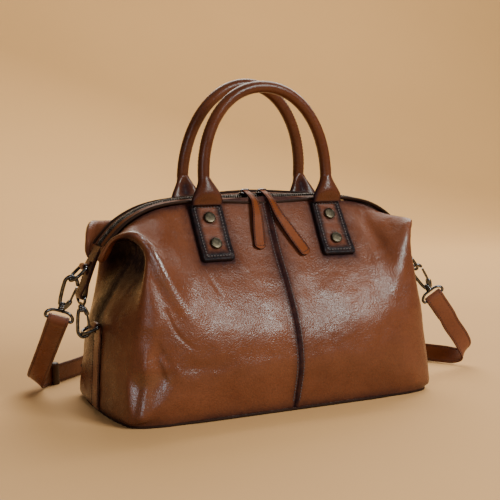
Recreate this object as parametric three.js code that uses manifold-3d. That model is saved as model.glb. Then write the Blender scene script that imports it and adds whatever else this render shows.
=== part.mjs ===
// A zipped leather shoulder bag with two rolled handles and a strap on snap hooks.
// Millimetres. X runs along the bag, the front faces -Y and Z is up from the floor under the base.
import * as THREE from "three";
import { mergeVertices } from "three/addons/utils/BufferGeometryUtils.js";
import Module from "manifold-3d";

const wasm = await Module();
wasm.setup();

// Leather and clearances
const WALL = 2.4;
const GAP = 0.3;
const SEAM_HALF_GAP = 0.15;
const BASE_THICKNESS = 2.4;
const FOOT_Z = BASE_THICKNESS + GAP;

// The zip's line over the top of the bag, from the middle to one end.
const RIDGE = [
  { x: 0, z: 204 },
  { x: 70, z: 203.5 },
  { x: 115, z: 198.5 },
  { x: 145, z: 185.5 },
  { x: 164, z: 168 },
  { x: 174.5, z: 152.5 },
  { x: 180.5, z: 138 },
  { x: 189, z: 113 },
];
const ZIP_END_X = 169.5;
const LIP_DROP = 6;

// Sections of one quarter of the body, from the middle of the front round to the middle of the end.
// foot to roof are stations up the wall, each [x, y, z] (a foot has no z). The lip is [ridge x, y], and
// it hangs under the zip band there. wing is how far the section follows its quarter's wing offsets,
// and spans is the number of facets from this section to the next.
const SECTIONS = [
  {
    name: "front_centre", foot: [0, 79], belly: [0, 88.5, 40], wall: [0, 87.5, 60], mid: [0, 82, 80],
    tuck: [0, 73.5, 98], crest: [0, 61, 120], roof: [0, 38, 156], lip: [0, 15], wing: 0, spans: 1,
  },
  {
    name: "front_handle", foot: [45, 79], belly: [45, 89, 40], wall: [45, 88, 61], mid: [45, 83, 81],
    tuck: [45, 74.5, 99], crest: [45, 62, 121], roof: [45, 39, 157], lip: [45, 15], wing: 0, spans: 1,
  },
  {
    name: "front_outer", foot: [82, 79], belly: [84, 88.5, 38], wall: [83, 87, 62], mid: [81, 83, 84],
    tuck: [80, 75, 104], crest: [80, 62.5, 126], roof: [80, 39, 160], lip: [80, 15], wing: 0, spans: 2,
  },
  {
    name: "crease", foot: [112, 79], belly: [115, 87, 32], wall: [113, 85, 66], mid: [110, 80.5, 95],
    tuck: [108, 73.5, 114], crest: [107, 62, 134], roof: [107, 38, 165], lip: [108, 15], wing: 0, spans: 2,
  },
  {
    name: "shoulder", foot: [138.5, 78], belly: [142, 83.5, 24], wall: [138, 81, 74], mid: [133, 76, 112],
    tuck: [130, 70.5, 138], crest: [129, 60, 157], roof: [128, 38, 174], lip: [129, 15], wing: 0.4, spans: 3,
  },
  {
    name: "wing_corner", foot: [160.5, 70], belly: [163.5, 73.5, 15], wall: [155, 70, 80], mid: [148, 67, 122],
    tuck: [145, 63, 152], crest: [150, 53, 173.5], roof: [148, 35, 178.5], lip: [147, 15], wing: 1, spans: 3,
  },
  {
    name: "wing_end", foot: [167.5, 48], belly: [169.8, 51, 14], wall: [162.5, 50, 80], mid: [151, 47, 122],
    tuck: [144, 43, 154], crest: [164, 34, 167], roof: [161, 25, 169], lip: [160, 15], wing: 0.6, spans: 2,
  },
  {
    name: "ear", foot: [170, 25], belly: [171.8, 26, 14], wall: [166.5, 26, 80], mid: [152.5, 24, 122],
    tuck: [141, 22, 154], crest: [170.5, 18.5, 148.5], roof: [167, 16.5, 151.5], lip: [169, 12], wing: 0, spans: 2,
  },
  {
    name: "end_centre", foot: [170.5, 0], belly: [172.2, 0, 14], wall: [167.5, 0, 80], mid: [153, 0, 122],
    tuck: [139, 0, 155], crest: [163, 0, 146], roof: [165, 3, 149], lip: [171, 5], wing: 0, spans: 0,
  },
];
// Stations up each section, with the facets from that station to the next and its share of the wing offset.
const STATIONS = [
  { key: "foot", spans: 2, wing: 0 },
  { key: "belly", spans: 2, wing: 0 },
  { key: "wall", spans: 1, wing: 0 },
  { key: "mid", spans: 2, wing: 0 },
  { key: "tuck", spans: 3, wing: 0.4 },
  { key: "crest", spans: 3, wing: 1 },
  { key: "roof", spans: 1, wing: 0.4 },
  { key: "lip", spans: 0, wing: 0 },
];
// The four quarters: which way each one faces, and how its soft wing sits against the table.
const QUARTERS = {
  front_left: { x: -1, y: -1, wingOut: -0.5, wingUp: -1 },
  front_right: { x: 1, y: -1, wingOut: 1, wingUp: 0.5 },
  back_left: { x: -1, y: 1, wingOut: 4, wingUp: 3 },
  back_right: { x: 1, y: 1, wingOut: 2, wingUp: 2 },
};

// Zip band, as [sideways from the middle, up from the ridge]
const TEETH_SECTION = [[-2.8, -3.7], [2.8, -3.7], [2.2, 0], [-2.2, 0]];
const TAPE_SECTION = [[-8, -5.1], [8, -5.1], [8, -4.1], [-8, -4.1]];
const FACING_SECTION = [[5.2, -3], [15.3, -4.7], [15.3, -2.9], [5.2, -1.2]];
const ZIP_PIPING = { y: 17.2, up: -2.6, radius: 1.5, sides: 6 };
const BAND_STEPS = 22;
const SLIDER = { length: 13, width: 9, height: 3, post: 2.4, bridge: 2.2, clear: 2.8, sink: 0.5 };
const PULL = { width: 12.5, neck: 7.4, tip: 7.5, thickness: 2.2, steps: 12 };
// A pull's way: from tuck past the slider's edges, on over the piping, then down the body from the height top,
// clearing it by clearTop there and by clearEnd at its end. hang lists the shares of the way down.
const PULL_WAY = {
  tuck: 1, beforePiping: 3, pastPiping: 3.5, dip: 0.5, turnUp: 0.5, top: 192, clearTop: 5, clearEnd: 2.4,
  hang: [0.15, 0.35, 0.6, 0.8, 1],
};
const PULLS = [
  { name: "left", slider: -14, end: { x: -19, z: 147 } },
  { name: "right", slider: 5, end: { x: 31, z: 143 } },
];

// Base roll: bend is the turn, in radians, under which the edge counts as straight
const BASE_PIPING = { out: 2.1, z: 1.9, radius: 1.5, sides: 6, bend: 0.02 };

// Handles, tabs and rivets
const TAB = { x: 67, top: 193.5, bottom: 141, halfWidth: 16.5, thickness: 3.6, lift: 0.9, rows: 8 };
const RIVET = { radius: 5.8, height: 2.2, rim: 0.45, flat: 0.7, sides: 8, upper: 181.5, lower: 158 };
const HANDLE = { neck: 222, radius: 5.2, arcSteps: 16, sides: 8 };
// The two arches. shift and lean move the necks and the top along the bag, and neckY and topY set how far
// back the handle stands there. Both handles lean a little towards the back.
const ARCHES = {
  front: { facing: -1, halfSpan: 68.2, shift: -1.2, lean: -2.5, rise: 88, power: 2.1, neckY: -22, topY: -21 },
  back: { facing: 1, halfSpan: 67.2, shift: 0, lean: 0, rise: 93, power: 2, neckY: 35, topY: 24 },
};
const FLARE = { halfWidth: 16, halfThickness: 2.4, steps: 4, rise: 12, power: 4 };
// Sections and stations between which the handles' tabs and the zip's pulls lie on the body's two faces
const FACE_SECTIONS = [0, 4];
const FACE_STATIONS = [2, 7];

// Wire hardware
const RING = { halfWidth: 9, upperDepth: 18, lowerDepth: 14.5, wire: 1.6, sides: 6, arcSteps: 6 };
const HOOK = { wire: 1.8, top: 31, barrel: 3.6, bore: 1.85, barrelHalf: 3, sides: 6, steps: 9 };
const HOOK_PATH = [[-3.2, 1.2], [-6.8, 7.5], [-8, 16], [-7.2, 25], [0, 31], [6.4, 27.6], [7.6, 23.6]];
const HOOK_ARM = { x: 3.1, z: 3, width: 3.4, length: 7 };
const GATE = {
  pivot: [5.4, 6.2], tip: [7.4, 22.2], bar: 2.2, width: 3, eye: 2.3, bore: 1.4, pin: 1.05, cheek: 1.3,
};
const EYE = {
  bar: 13, halfWidth: 13, shoulder: 4.5, wire: 1.5, pin: 1.5, head: 2.1, headThickness: 1.2, corner: 2, sides: 6,
  top: 7.15, slopeX: 11.7, slopeDrop: 2.4,
};
const RING_SEAT = HOOK.top - HOOK.wire - RING.wire - 2.5 * GAP;
const TAIL_HOOK_SCALE = 0.9;

// Leather at the ends
const TAIL = {
  halfWidthTop: 12, halfWidthEnd: 9.3, thickness: 3.4, drop: 3, loop: 4, bite: 0.8, hole: 1.75,
  endX: 187.6, rows: 4,
};
const STRIP = {
  halfWidth: 10, thickness: 2.2, lift: 0.4, loop: 3.9, loopHalfWidth: 7.5, hole: 1.95, ringX: 171.8,
};
const STRIP_STATIONS = [0.35, 0.7, 1, 1.3, 1.6, 1.9, 2.12];
const RING_LOOP = { halfWidth: 7, length: 13, thickness: 1.5, loop: 3.5, hole: 1.95 };
// Longer than any of the loops is wide, for cutting their holes
const THROUGH = 60;

// The two ends. ringX is where on the ridge the upper ring hangs. ring, hook and tailHook are the ways
// that the ring, the strap hook's nose and the tail hook's nose point. across and tailAcross are the
// sides of the hooks' gates, and eyeAcross is the way of the strap's bar.
const ENDS = [
  {
    name: "left", side: -1, ringX: 180,
    ring: [-0.74, 0, -0.673], hook: [0.24, -0.25, 0.94],
    across: [0.87, -0.38, -0.32], eyeAcross: [0.916, -0.26, -0.303],
    tailHook: [0.02, 0, -1], tailAcross: [0.95, -0.3, 0],
  },
  {
    name: "right", side: 1, ringX: 183.5,
    ring: [0.64, 0, -0.768], hook: [-0.6, 0.1, 0.8],
    across: [0.77, -0.15, 0.6], eyeAcross: [0.754, -0.304, 0.586],
    tailHook: [-0.02, 0, -1], tailAcross: [-0.95, -0.3, 0],
  },
];

// Strap: its way round from the left hook, behind the bag on its edge, to the right hook.
// across is the way its width points, and steps the facets from this row to the next. The flap is folded
// over a hook's bar at the radius wrap, closes to a share of that at meet below the bar, and lies apart from
// the strap at its end.
const STRAP = { width: 20, thickness: 2.6, flap: 28, wrap: 3.9, close: 0.75, meet: 9, apart: 3.3 };
const STRAP_ROUTE = [
  { at: [-203, 46, 60], across: [0.916, -0.26, -0.303], steps: 3 },
  { at: [-204, 78, 33], across: [0.916, -0.26, -0.303], steps: 2 },
  { at: [-204.5, 96, 18.5], across: [0.85, -0.36, -0.4], steps: 2 },
  { at: [-203, 106, 11], across: [0.66, -0.5, -0.56], steps: 2 },
  { at: [-198, 113, 9.9], across: [0.34, -0.4, -0.85], steps: 2 },
  { at: [-188, 121, 10.5], across: [0.05, -0.06, -1], steps: 2 },
  { at: [-170, 133, 10.6], across: [0, 0, -1], steps: 2 },
  { at: [-140, 157, 10.4], across: [0, 0, -1], steps: 2 },
  { at: [-90, 206, 10.4], across: [0, 0, -1], steps: 2 },
  { at: [0, 246, 10.4], across: [0, 0, -1], steps: 2 },
  { at: [95, 222, 10.4], across: [0, 0, -1], steps: 2 },
  { at: [180, 147, 10.4], across: [0, 0, -1], steps: 2 },
  { at: [222, 83, 10.4], across: [0, 0, -1], steps: 2 },
  { at: [243, 46, 10.5], across: [-0.03, -0.05, -1], steps: 2 },
  { at: [257, 23, 10.4], across: [-0.2, -0.3, -0.93], steps: 2 },
  { at: [266, 8.5, 10.8], across: [-0.52, -0.45, -0.7], steps: 2 },
  { at: [269.5, 1.5, 15], across: [-0.66, -0.25, -0.7], steps: 2 },
  { at: [268, -2, 23], across: [-0.72, 0.05, -0.68], steps: 2 },
  { at: [260, -3.5, 35], across: [-0.745, 0.25, -0.61], steps: 2 },
  { at: [246, -4.5, 51.5], across: [-0.754, 0.304, -0.586], steps: 3 },
];
const KEEPER = { row: 5.7, wall: 1.6, clear: 0.4, length: 9 };
const STRAP_HOLES = { row: 7, radius: 1.6, count: 4, pitch: 24 };

// Materials
function material(color, roughness, metalness) {
  return new THREE.MeshStandardMaterial({ color, roughness, metalness });
}
const LEATHER = material(0x7a3f1e, 0.45, 0);
const DARK_LEATHER = material(0x2a1a14, 0.5, 0);
const TAPE = material(0x241d1a, 0.9, 0);
const GUNMETAL = material(0x4a4744, 0.35, 0.9);
const BRASS = material(0x84744f, 0.4, 0.9);

// Vectors
function vec(list) {
  return new THREE.Vector3(list[0], list[1], list[2]);
}
function moved(point, direction, distance) {
  return point.clone().addScaledVector(direction, distance);
}
function unit(list) {
  return vec(list).normalize();
}
// across, made square to along
function squareTo(across, along) {
  return moved(across, along, -across.dot(along)).normalize();
}

// A closed body through rings of points. A ring has an even number of points, and an end is closed by
// a strip between its two halves.
function loft(rings, closed = false) {
  const count = rings[0].length;
  const faces = [];
  const spans = closed ? rings.length : rings.length - 1;
  for (let i = 0; i < spans; i += 1) {
    const a = i * count;
    const b = ((i + 1) % rings.length) * count;
    for (let k = 0; k < count; k += 1) {
      const next = (k + 1) % count;
      faces.push(a + k, b + k, b + next, a + k, b + next, a + next);
    }
  }
  const last = (rings.length - 1) * count;
  for (let k = 0; k < count / 2 - 1 && !closed; k += 1) {
    const [p, q, r, s] = [k, k + 1, count - 2 - k, count - 1 - k];
    faces.push(p, q, r, p, r, s);
    faces.push(last + p, last + r, last + q, last + p, last + s, last + r);
  }
  const points = rings.flat();
  let volume = 0;
  for (let i = 0; i < faces.length; i += 3) {
    const cross = points[faces[i + 1]].clone().cross(points[faces[i + 2]]);
    volume += points[faces[i]].dot(cross);
  }
  if (volume < 0) faces.reverse();
  const geometry = new THREE.BufferGeometry().setFromPoints(points);
  geometry.setIndex(faces);
  geometry.computeVertexNormals();
  return geometry;
}

// Joins and cuts
function toSolid(geometry) {
  const bare = new THREE.BufferGeometry();
  bare.setAttribute("position", geometry.getAttribute("position"));
  bare.setIndex(geometry.index);
  const merged = mergeVertices(bare, 1e-4);
  return new wasm.Manifold(
    new wasm.Mesh({
      numProp: 3,
      vertProperties: new Float32Array(merged.getAttribute("position").array),
      triVerts: new Uint32Array(merged.index.array),
    }),
  );
}
function fromSolid(solid) {
  const mesh = solid.getMesh();
  const geometry = new THREE.BufferGeometry();
  geometry.setAttribute("position", new THREE.BufferAttribute(mesh.vertProperties, 3));
  geometry.setIndex(new THREE.BufferAttribute(mesh.triVerts, 1));
  geometry.computeVertexNormals();
  return geometry;
}
function joined(geometries, cuts = []) {
  const whole = geometries.map(toSolid).reduce((all, one) => all.add(one));
  return fromSolid(cuts.map(toSolid).reduce((all, one) => all.subtract(one), whole));
}
// A cylinder with its middle at a point and its axis along a direction
function rod(centre, axis, radius, length, sides = 8) {
  const turn = new THREE.Quaternion().setFromUnitVectors(new THREE.Vector3(0, 1, 0), axis);
  return new THREE.CylinderGeometry(radius, radius, length, sides)
    .applyQuaternion(turn)
    .translate(centre.x, centre.y, centre.z);
}

// Round wire along a curve in one plane
function wire(points, normal, radius, sides, closed = false) {
  const last = points.length - 1;
  const rings = points.map((point, i) => {
    const before = closed ? points[(i + last) % points.length] : points[Math.max(i - 1, 0)];
    const after = closed ? points[(i + 1) % points.length] : points[Math.min(i + 1, last)];
    const along = after.clone().sub(before).normalize();
    const out = normal.clone().cross(along).normalize();
    return roundRing(point, out, normal, radius, radius, sides);
  });
  return loft(rings, closed);
}
function roundRing(centre, a, b, radiusA, radiusB, sides, power = 2) {
  const ring = [];
  for (let k = 0; k < sides; k += 1) {
    const angle = ((k + 0.5) / sides) * 2 * Math.PI;
    const reach = (value) => Math.sign(value) * Math.abs(value) ** (2 / power);
    const p = moved(centre, a, radiusA * reach(Math.cos(angle)));
    ring.push(p.addScaledVector(b, radiusB * reach(Math.sin(angle))));
  }
  return ring;
}
function boxRing(centre, across, up, halfWidth, halfThickness) {
  return [[-1, -1], [1, -1], [1, 1], [-1, 1]].map(([a, b]) =>
    moved(centre, across, a * halfWidth).addScaledVector(up, b * halfThickness),
  );
}

// The ridge at a given x: the point on it and the way up from it, square to the zip
const ridgeCurve = new THREE.CatmullRomCurve3(
  RIDGE.map(({ x, z }) => new THREE.Vector3(x, 0, z)), false, "catmullrom", 0.5,
);
function ridgeParameter(x) {
  let [low, high] = [0, 1];
  for (let i = 0; i < 40; i += 1) {
    const middle = (low + high) / 2;
    if (ridgeCurve.getPoint(middle).x < Math.abs(x)) low = middle;
    else high = middle;
  }
  return low;
}
function ridgeFrame(x) {
  const side = x < 0 ? -1 : 1;
  const t = ridgeParameter(x);
  const point = ridgeCurve.getPoint(t);
  const along = ridgeCurve.getTangent(t);
  return {
    point: new THREE.Vector3(side * point.x, 0, point.z),
    up: new THREE.Vector3(-side * along.z, 0, along.x),
    along: new THREE.Vector3(side * along.x, 0, along.z),
  };
}
function onBand(frame, y, up) {
  const point = moved(frame.point, frame.up, up);
  point.y = y;
  return point;
}

// Body surface of one quarter: station is 0 at the foot to 7 at the lip, section 0 at the front's middle
// to 8 at the end's middle.
function stationPoint(section, station, quarter) {
  if (station.key === "lip") {
    const [x, y] = section.lip;
    const point = onBand(ridgeFrame(x), y, -LIP_DROP);
    return new THREE.Vector3(quarter.x * point.x, quarter.y * y, point.z);
  }
  const [x, y, z = FOOT_Z] = section[station.key];
  const share = section.wing * station.wing;
  return new THREE.Vector3(quarter.x * (x + share * quarter.wingOut), quarter.y * y, z + share * quarter.wingUp);
}
function quarterSurface(quarter) {
  const along = STATIONS.map(
    (station) =>
      new THREE.CatmullRomCurve3(
        SECTIONS.map((section) => stationPoint(section, station, quarter)), false, "catmullrom", 0.5,
      ),
  );
  return (section, station) => {
    const up = along.map((curve) => curve.getPoint(section / (SECTIONS.length - 1)));
    const curve = new THREE.CatmullRomCurve3(up, false, "catmullrom", 0.5);
    return curve.getPoint(station / (STATIONS.length - 1));
  };
}
function spread(rows) {
  const values = [];
  rows.forEach((row, i) => {
    for (let k = 0; k < Math.max(row.spans, 1); k += 1) values.push(i + k / Math.max(row.spans, 1));
  });
  return values;
}
const sectionSteps = spread(SECTIONS);
const stationSteps = spread(STATIONS);
const surfaces = Object.fromEntries(
  Object.entries(QUARTERS).map(([name, quarter]) => [name, quarterSurface(quarter)]),
);
function quarterColumns(name) {
  const quarter = QUARTERS[name];
  return sectionSteps.map((section) =>
    stationSteps.map((station) => {
      const point = surfaces[name](section, station);
      point.x = quarter.x * Math.max(quarter.x * point.x, 0);
      point.y = quarter.y * Math.max(quarter.y * point.y, SEAM_HALF_GAP);
      return point;
    }),
  );
}
// Columns of outer points to a leather panel, with its inside WALL behind the outside.
function panel(columns, seamX) {
  const outward = (i, j) => {
    const [left, right] = [columns[Math.max(i - 1, 0)][j], columns[Math.min(i + 1, columns.length - 1)][j]];
    const [low, high] = [columns[i][Math.max(j - 1, 0)], columns[i][Math.min(j + 1, columns[i].length - 1)]];
    return right.clone().sub(left).cross(high.clone().sub(low)).normalize();
  };
  const facing = outward(2, 3).dot(columns[2][3].clone().setZ(0)) > 0 ? 1 : -1;
  const ySide = Math.sign(columns[2][3].y);
  const rings = columns.map((column, i) => {
    const inner = column.map((point, j) => {
      const inside = moved(point, outward(i, j), -facing * WALL);
      inside.y = ySide * Math.max(ySide * inside.y, SEAM_HALF_GAP);
      return inside;
    });
    const ring = [...column, ...inner.reverse()];
    if (seamX) ring.forEach((p) => (p.x = seamX * Math.max(seamX * p.x, SEAM_HALF_GAP)));
    return ring;
  });
  return loft(rings);
}

const bag = new THREE.Group();
function add(name, geometry, look, parent = bag) {
  const mesh = new THREE.Mesh(geometry, look);
  mesh.name = name;
  parent.add(mesh);
  return mesh;
}

// Body panels
for (const name of ["left", "right"]) {
  const quarter = `front_${name}`;
  add(`front_panel_${name}`, panel(quarterColumns(quarter), QUARTERS[quarter].x), LEATHER);
}
const backColumns = [...quarterColumns("back_left").reverse(), ...quarterColumns("back_right").slice(1)];
add("back_panel", panel(backColumns, 0), LEATHER);

// Base: a flat leather bottom and the thin roll round its edge
const footLoop = ["front_right", "back_right", "back_left", "front_left"].flatMap((name, i) => {
  const feet = sectionSteps.map((section) => surfaces[name](section, 0));
  return i % 2 === 0 ? feet.slice(0, -1) : feet.reverse().slice(0, -1);
});
const baseShape = new THREE.Shape(footLoop.map((p) => new THREE.Vector2(p.x, p.y)));
const baseGeometry = new THREE.ExtrudeGeometry(baseShape, { depth: BASE_THICKNESS, bevelEnabled: false });
add("base_panel", baseGeometry, LEATHER);

function basePipingGeometry() {
  const up = new THREE.Vector3(0, 0, 1);
  const loop = [];
  footLoop.forEach((p, i) => {
    const into = p.clone().sub(footLoop.at(i - 1));
    const onward = footLoop[(i + 1) % footLoop.length].clone().sub(p);
    if (into.angleTo(onward) < BASE_PIPING.bend) return;
    const out = into.add(onward).cross(up).normalize();
    loop.push(moved(p, out, BASE_PIPING.out).setZ(BASE_PIPING.z));
  });
  return wire(loop, up, BASE_PIPING.radius, BASE_PIPING.sides, true);
}
add("base_piping", basePipingGeometry(), DARK_LEATHER);

// Zip band
const zipEnd = ridgeParameter(ZIP_END_X);
const bandFrames = [];
for (let i = 0; i <= BAND_STEPS; i += 1) {
  const t = (2 * i) / BAND_STEPS - 1;
  bandFrames.push(ridgeFrame(Math.sign(t) * ridgeCurve.getPoint(Math.abs(t) * zipEnd).x));
}
function bandPiece(section) {
  return loft(bandFrames.map((frame) => section.map(([y, up]) => onBand(frame, y, up))));
}
add("zip_tape", bandPiece(TAPE_SECTION), TAPE);
add("zip_teeth", bandPiece(TEETH_SECTION), GUNMETAL);
for (const [name, side] of [["front", -1], ["back", 1]]) {
  add(`zip_facing_${name}`, bandPiece(FACING_SECTION.map(([y, up]) => [side * y, up])), LEATHER);
  const line = bandFrames.map((frame) => onBand(frame, side * ZIP_PIPING.y, ZIP_PIPING.up));
  const piping = wire(line, new THREE.Vector3(0, 1, 0), ZIP_PIPING.radius, ZIP_PIPING.sides);
  add(`zip_piping_${name}`, piping, DARK_LEATHER);
}

// A point on the front or back of the body at a given x and height, above the belly
function bodyPoint(x, z, facing) {
  const name = `${facing < 0 ? "front" : "back"}_${x < 0 ? "left" : "right"}`;
  const surface = surfaces[name];
  const solve = (read, wanted, range) => {
    let [low, high] = range;
    for (let i = 0; i < 30; i += 1) {
      const middle = (low + high) / 2;
      if (read(middle) < wanted) low = middle;
      else high = middle;
    }
    return (low + high) / 2;
  };
  const sectionAt = (station) => solve((s) => Math.abs(surface(s, station).x), Math.abs(x), FACE_SECTIONS);
  const station = solve((s) => surface(sectionAt(s), s).z, z, FACE_STATIONS);
  const section = sectionAt(station);
  const step = 0.02;
  const sideways = surface(section + step, station).sub(surface(section, station));
  const upwards = surface(section, station).sub(surface(section, station - step));
  const normal = sideways.cross(upwards).normalize();
  return { point: surface(section, station), normal: normal.multiplyScalar(Math.sign(normal.y) * facing) };
}

// Handle tabs with their rivets
function tabGeometry(x, facing) {
  const rings = [];
  for (let i = 0; i <= TAB.rows; i += 1) {
    const z = TAB.top + ((TAB.bottom - TAB.top) * i) / TAB.rows;
    const corners = [x - TAB.halfWidth, x + TAB.halfWidth].map((edge) => bodyPoint(edge, z, facing));
    const [low, high] = [TAB.lift, TAB.lift + TAB.thickness];
    rings.push([
      moved(corners[0].point, corners[0].normal, low),
      moved(corners[1].point, corners[1].normal, low),
      moved(corners[1].point, corners[1].normal, high),
      moved(corners[0].point, corners[0].normal, high),
    ]);
  }
  return loft(rings);
}
const rivetProfile = [
  [0, 0], [RIVET.radius, 0], [RIVET.radius, RIVET.height * RIVET.rim], [RIVET.radius * RIVET.flat, RIVET.height],
  [0, RIVET.height],
].map(([r, h]) => new THREE.Vector2(r, h));
const rivetGeometry = new THREE.LatheGeometry(rivetProfile, RIVET.sides);
function addTab(face, facing, end, side) {
  add(`handle_tab_${face}_${end}`, tabGeometry(side * TAB.x, facing), LEATHER);
  for (const place of ["upper", "lower"]) {
    const { point, normal } = bodyPoint(side * TAB.x, RIVET[place], facing);
    const rivet = add(`rivet_${face}_${end}_${place}`, rivetGeometry, BRASS);
    rivet.position.copy(moved(point, normal, TAB.lift + TAB.thickness + 2 * GAP));
    rivet.quaternion.setFromUnitVectors(new THREE.Vector3(0, 1, 0), normal);
  }
}

// Handles: a rolled arch whose feet flare flat to meet the tabs
function handleGeometry({ facing, halfSpan, shift, lean, rise, power, neckY, topY }) {
  const curve = (value) => Math.sign(value) * Math.abs(value) ** (2 / power);
  const arch = [];
  for (let i = 0; i <= HANDLE.arcSteps; i += 1) {
    const angle = Math.PI * (1 - i / HANDLE.arcSteps);
    const up = curve(Math.sin(angle));
    const x = shift + halfSpan * curve(Math.cos(angle)) + lean * up;
    const centre = new THREE.Vector3(x, THREE.MathUtils.lerp(neckY, topY, up), HANDLE.neck + rise * up);
    arch.push({ centre, wide: HANDLE.radius, thick: HANDLE.radius, power: 2 });
  }
  const foot = (side) => {
    const { point, normal } = bodyPoint(side * TAB.x, TAB.top, facing);
    const tabEdge = moved(point, normal, TAB.lift + TAB.thickness);
    const start = tabEdge.add(new THREE.Vector3(0, facing * FLARE.halfThickness, 2 * GAP));
    const neck = new THREE.Vector3(shift + side * halfSpan, neckY, HANDLE.neck);
    const above = start.clone().setZ(start.z + FLARE.rise);
    const path = new THREE.QuadraticBezierCurve3(start, above, neck);
    const rows = [];
    for (let i = 0; i < FLARE.steps; i += 1) {
      const t = i / FLARE.steps;
      const ease = t * t * (3 - 2 * t);
      rows.push({
        centre: path.getPoint(t),
        wide: THREE.MathUtils.lerp(FLARE.halfWidth, HANDLE.radius, ease),
        thick: THREE.MathUtils.lerp(FLARE.halfThickness, HANDLE.radius, ease),
        power: THREE.MathUtils.lerp(FLARE.power, 2, ease),
      });
    }
    return rows;
  };
  const rows = [...foot(-1), ...arch, ...foot(1).reverse()];
  const rings = rows.map((row, i) => {
    const [before, after] = [rows[Math.max(i - 1, 0)], rows[Math.min(i + 1, rows.length - 1)]];
    const along = after.centre.clone().sub(before.centre).normalize();
    const across = new THREE.Vector3(0, 1, 0).cross(along).normalize();
    const out = along.clone().cross(across);
    return roundRing(row.centre, across, out, row.wide, row.thick, HANDLE.sides, row.power);
  });
  return loft(rings);
}
for (const [face, arch] of Object.entries(ARCHES)) {
  add(`handle_${face}`, handleGeometry(arch), LEATHER);
  addTab(face, arch.facing, "left", -1);
  addTab(face, arch.facing, "right", 1);
}

// Zip sliders, and leather pulls that go under their bridges and hang down the front
function sliderGeometry() {
  const { length, width, height, post, bridge, clear, sink } = SLIDER;
  const box = (x, y, z, atX, atZ) => new THREE.BoxGeometry(x, y, z).translate(atX, 0, atZ);
  const reach = length / 2 - post / 2;
  const tall = sink + clear + bridge;
  return joined([
    box(length, width, height, 0, height / 2),
    box(post, post, tall, -reach, height - sink + tall / 2),
    box(post, post, tall, reach, height - sink + tall / 2),
    box(length, post, bridge, 0, height + clear + bridge / 2),
  ]);
}
function stripAlong(rows, thickness) {
  const rings = rows.map((row, i) => {
    const [before, after] = [rows[Math.max(i - 1, 0)], rows[Math.min(i + 1, rows.length - 1)]];
    const along = after.at.clone().sub(before.at).normalize();
    const across = squareTo(row.across, along);
    return boxRing(row.at, across, along.clone().cross(across), row.width / 2, thickness / 2);
  });
  return loft(rings);
}
function pullGeometry(pull) {
  const over = ridgeFrame(pull.slider);
  const rise = GAP + SLIDER.height + SLIDER.clear / 2;
  const points = [
    onBand(over, SLIDER.width / 2 - PULL_WAY.tuck, rise),
    onBand(over, -SLIDER.width / 2 - PULL_WAY.tuck, rise),
    onBand(over, PULL_WAY.beforePiping - ZIP_PIPING.y, rise - PULL_WAY.dip),
    onBand(over, -ZIP_PIPING.y - PULL_WAY.pastPiping, PULL_WAY.turnUp),
  ];
  const hang = (t) => {
    const x = THREE.MathUtils.lerp(pull.slider, pull.end.x, t);
    const { point, normal } = bodyPoint(x, THREE.MathUtils.lerp(PULL_WAY.top, pull.end.z, t), -1);
    return moved(point, normal, THREE.MathUtils.lerp(PULL_WAY.clearTop, PULL_WAY.clearEnd, t));
  };
  points.push(...PULL_WAY.hang.map(hang));
  const curve = new THREE.CatmullRomCurve3(points);
  const rows = curve.getPoints(PULL.steps).map((at, i) => {
    let width = PULL.width;
    if (i < 2) width = PULL.neck;
    if (i === PULL.steps) width = PULL.tip;
    return { at, across: new THREE.Vector3(1, 0, 0), width };
  });
  return stripAlong(rows, PULL.thickness);
}
const sliderSolid = sliderGeometry();
for (const pull of PULLS) {
  const slider = add(`zip_slider_${pull.name}`, sliderSolid, GUNMETAL);
  slider.position.copy(onBand(ridgeFrame(pull.slider), 0, GAP));
  add(`zip_pull_${pull.name}`, pullGeometry(pull), LEATHER);
}

// A D-ring, with its bar along local X through the origin and its bow towards local -Z
function ringGeometry(depth) {
  const { halfWidth, wire: radius, sides, arcSteps } = RING;
  const points = [];
  for (let i = 0; i <= arcSteps; i += 1) {
    const angle = (Math.PI * i) / arcSteps;
    const reach = depth - halfWidth;
    points.push(new THREE.Vector3(halfWidth * Math.cos(angle), 0, -reach - halfWidth * Math.sin(angle)));
  }
  points.push(new THREE.Vector3(-halfWidth, 0, 0));
  points.push(new THREE.Vector3(0, 0, 0));
  points.push(new THREE.Vector3(halfWidth, 0, 0));
  return wire(points, new THREE.Vector3(0, 1, 0), radius, sides, true);
}

// A snap hook in its own plane: local X towards the gate's side, Z from the swivel to the nose.
const ACROSS = new THREE.Vector3(0, 1, 0);
const UP = new THREE.Vector3(0, 0, 1);
function inHook([x, z]) {
  return new THREE.Vector3(x, 0, z);
}
function hookGeometry() {
  const path = new THREE.CatmullRomCurve3(HOOK_PATH.map(inHook)).getPoints(HOOK.steps);
  const pivot = inHook(GATE.pivot);
  const cheekY = GATE.width / 2 + GAP + GATE.cheek / 2;
  const parts = [
    wire(path, ACROSS, HOOK.wire, HOOK.sides),
    rod(new THREE.Vector3(0, 0, 0), UP, HOOK.barrel, 2 * HOOK.barrelHalf),
    rod(pivot, ACROSS, GATE.pin, 2 * cheekY, 8),
  ];
  for (const side of [-1, 1]) {
    const middle = moved(pivot, ACROSS, side * cheekY);
    parts.push(rod(middle, ACROSS, GATE.eye, GATE.cheek, 8));
    const arm = new THREE.BoxGeometry(HOOK_ARM.width, GATE.cheek, HOOK_ARM.length);
    parts.push(arm.translate(HOOK_ARM.x, side * cheekY, HOOK_ARM.z));
  }
  const bore = rod(new THREE.Vector3(0, 0, 0), UP, HOOK.bore, 4 * HOOK.barrelHalf);
  return joined(parts, [bore]);
}
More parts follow.
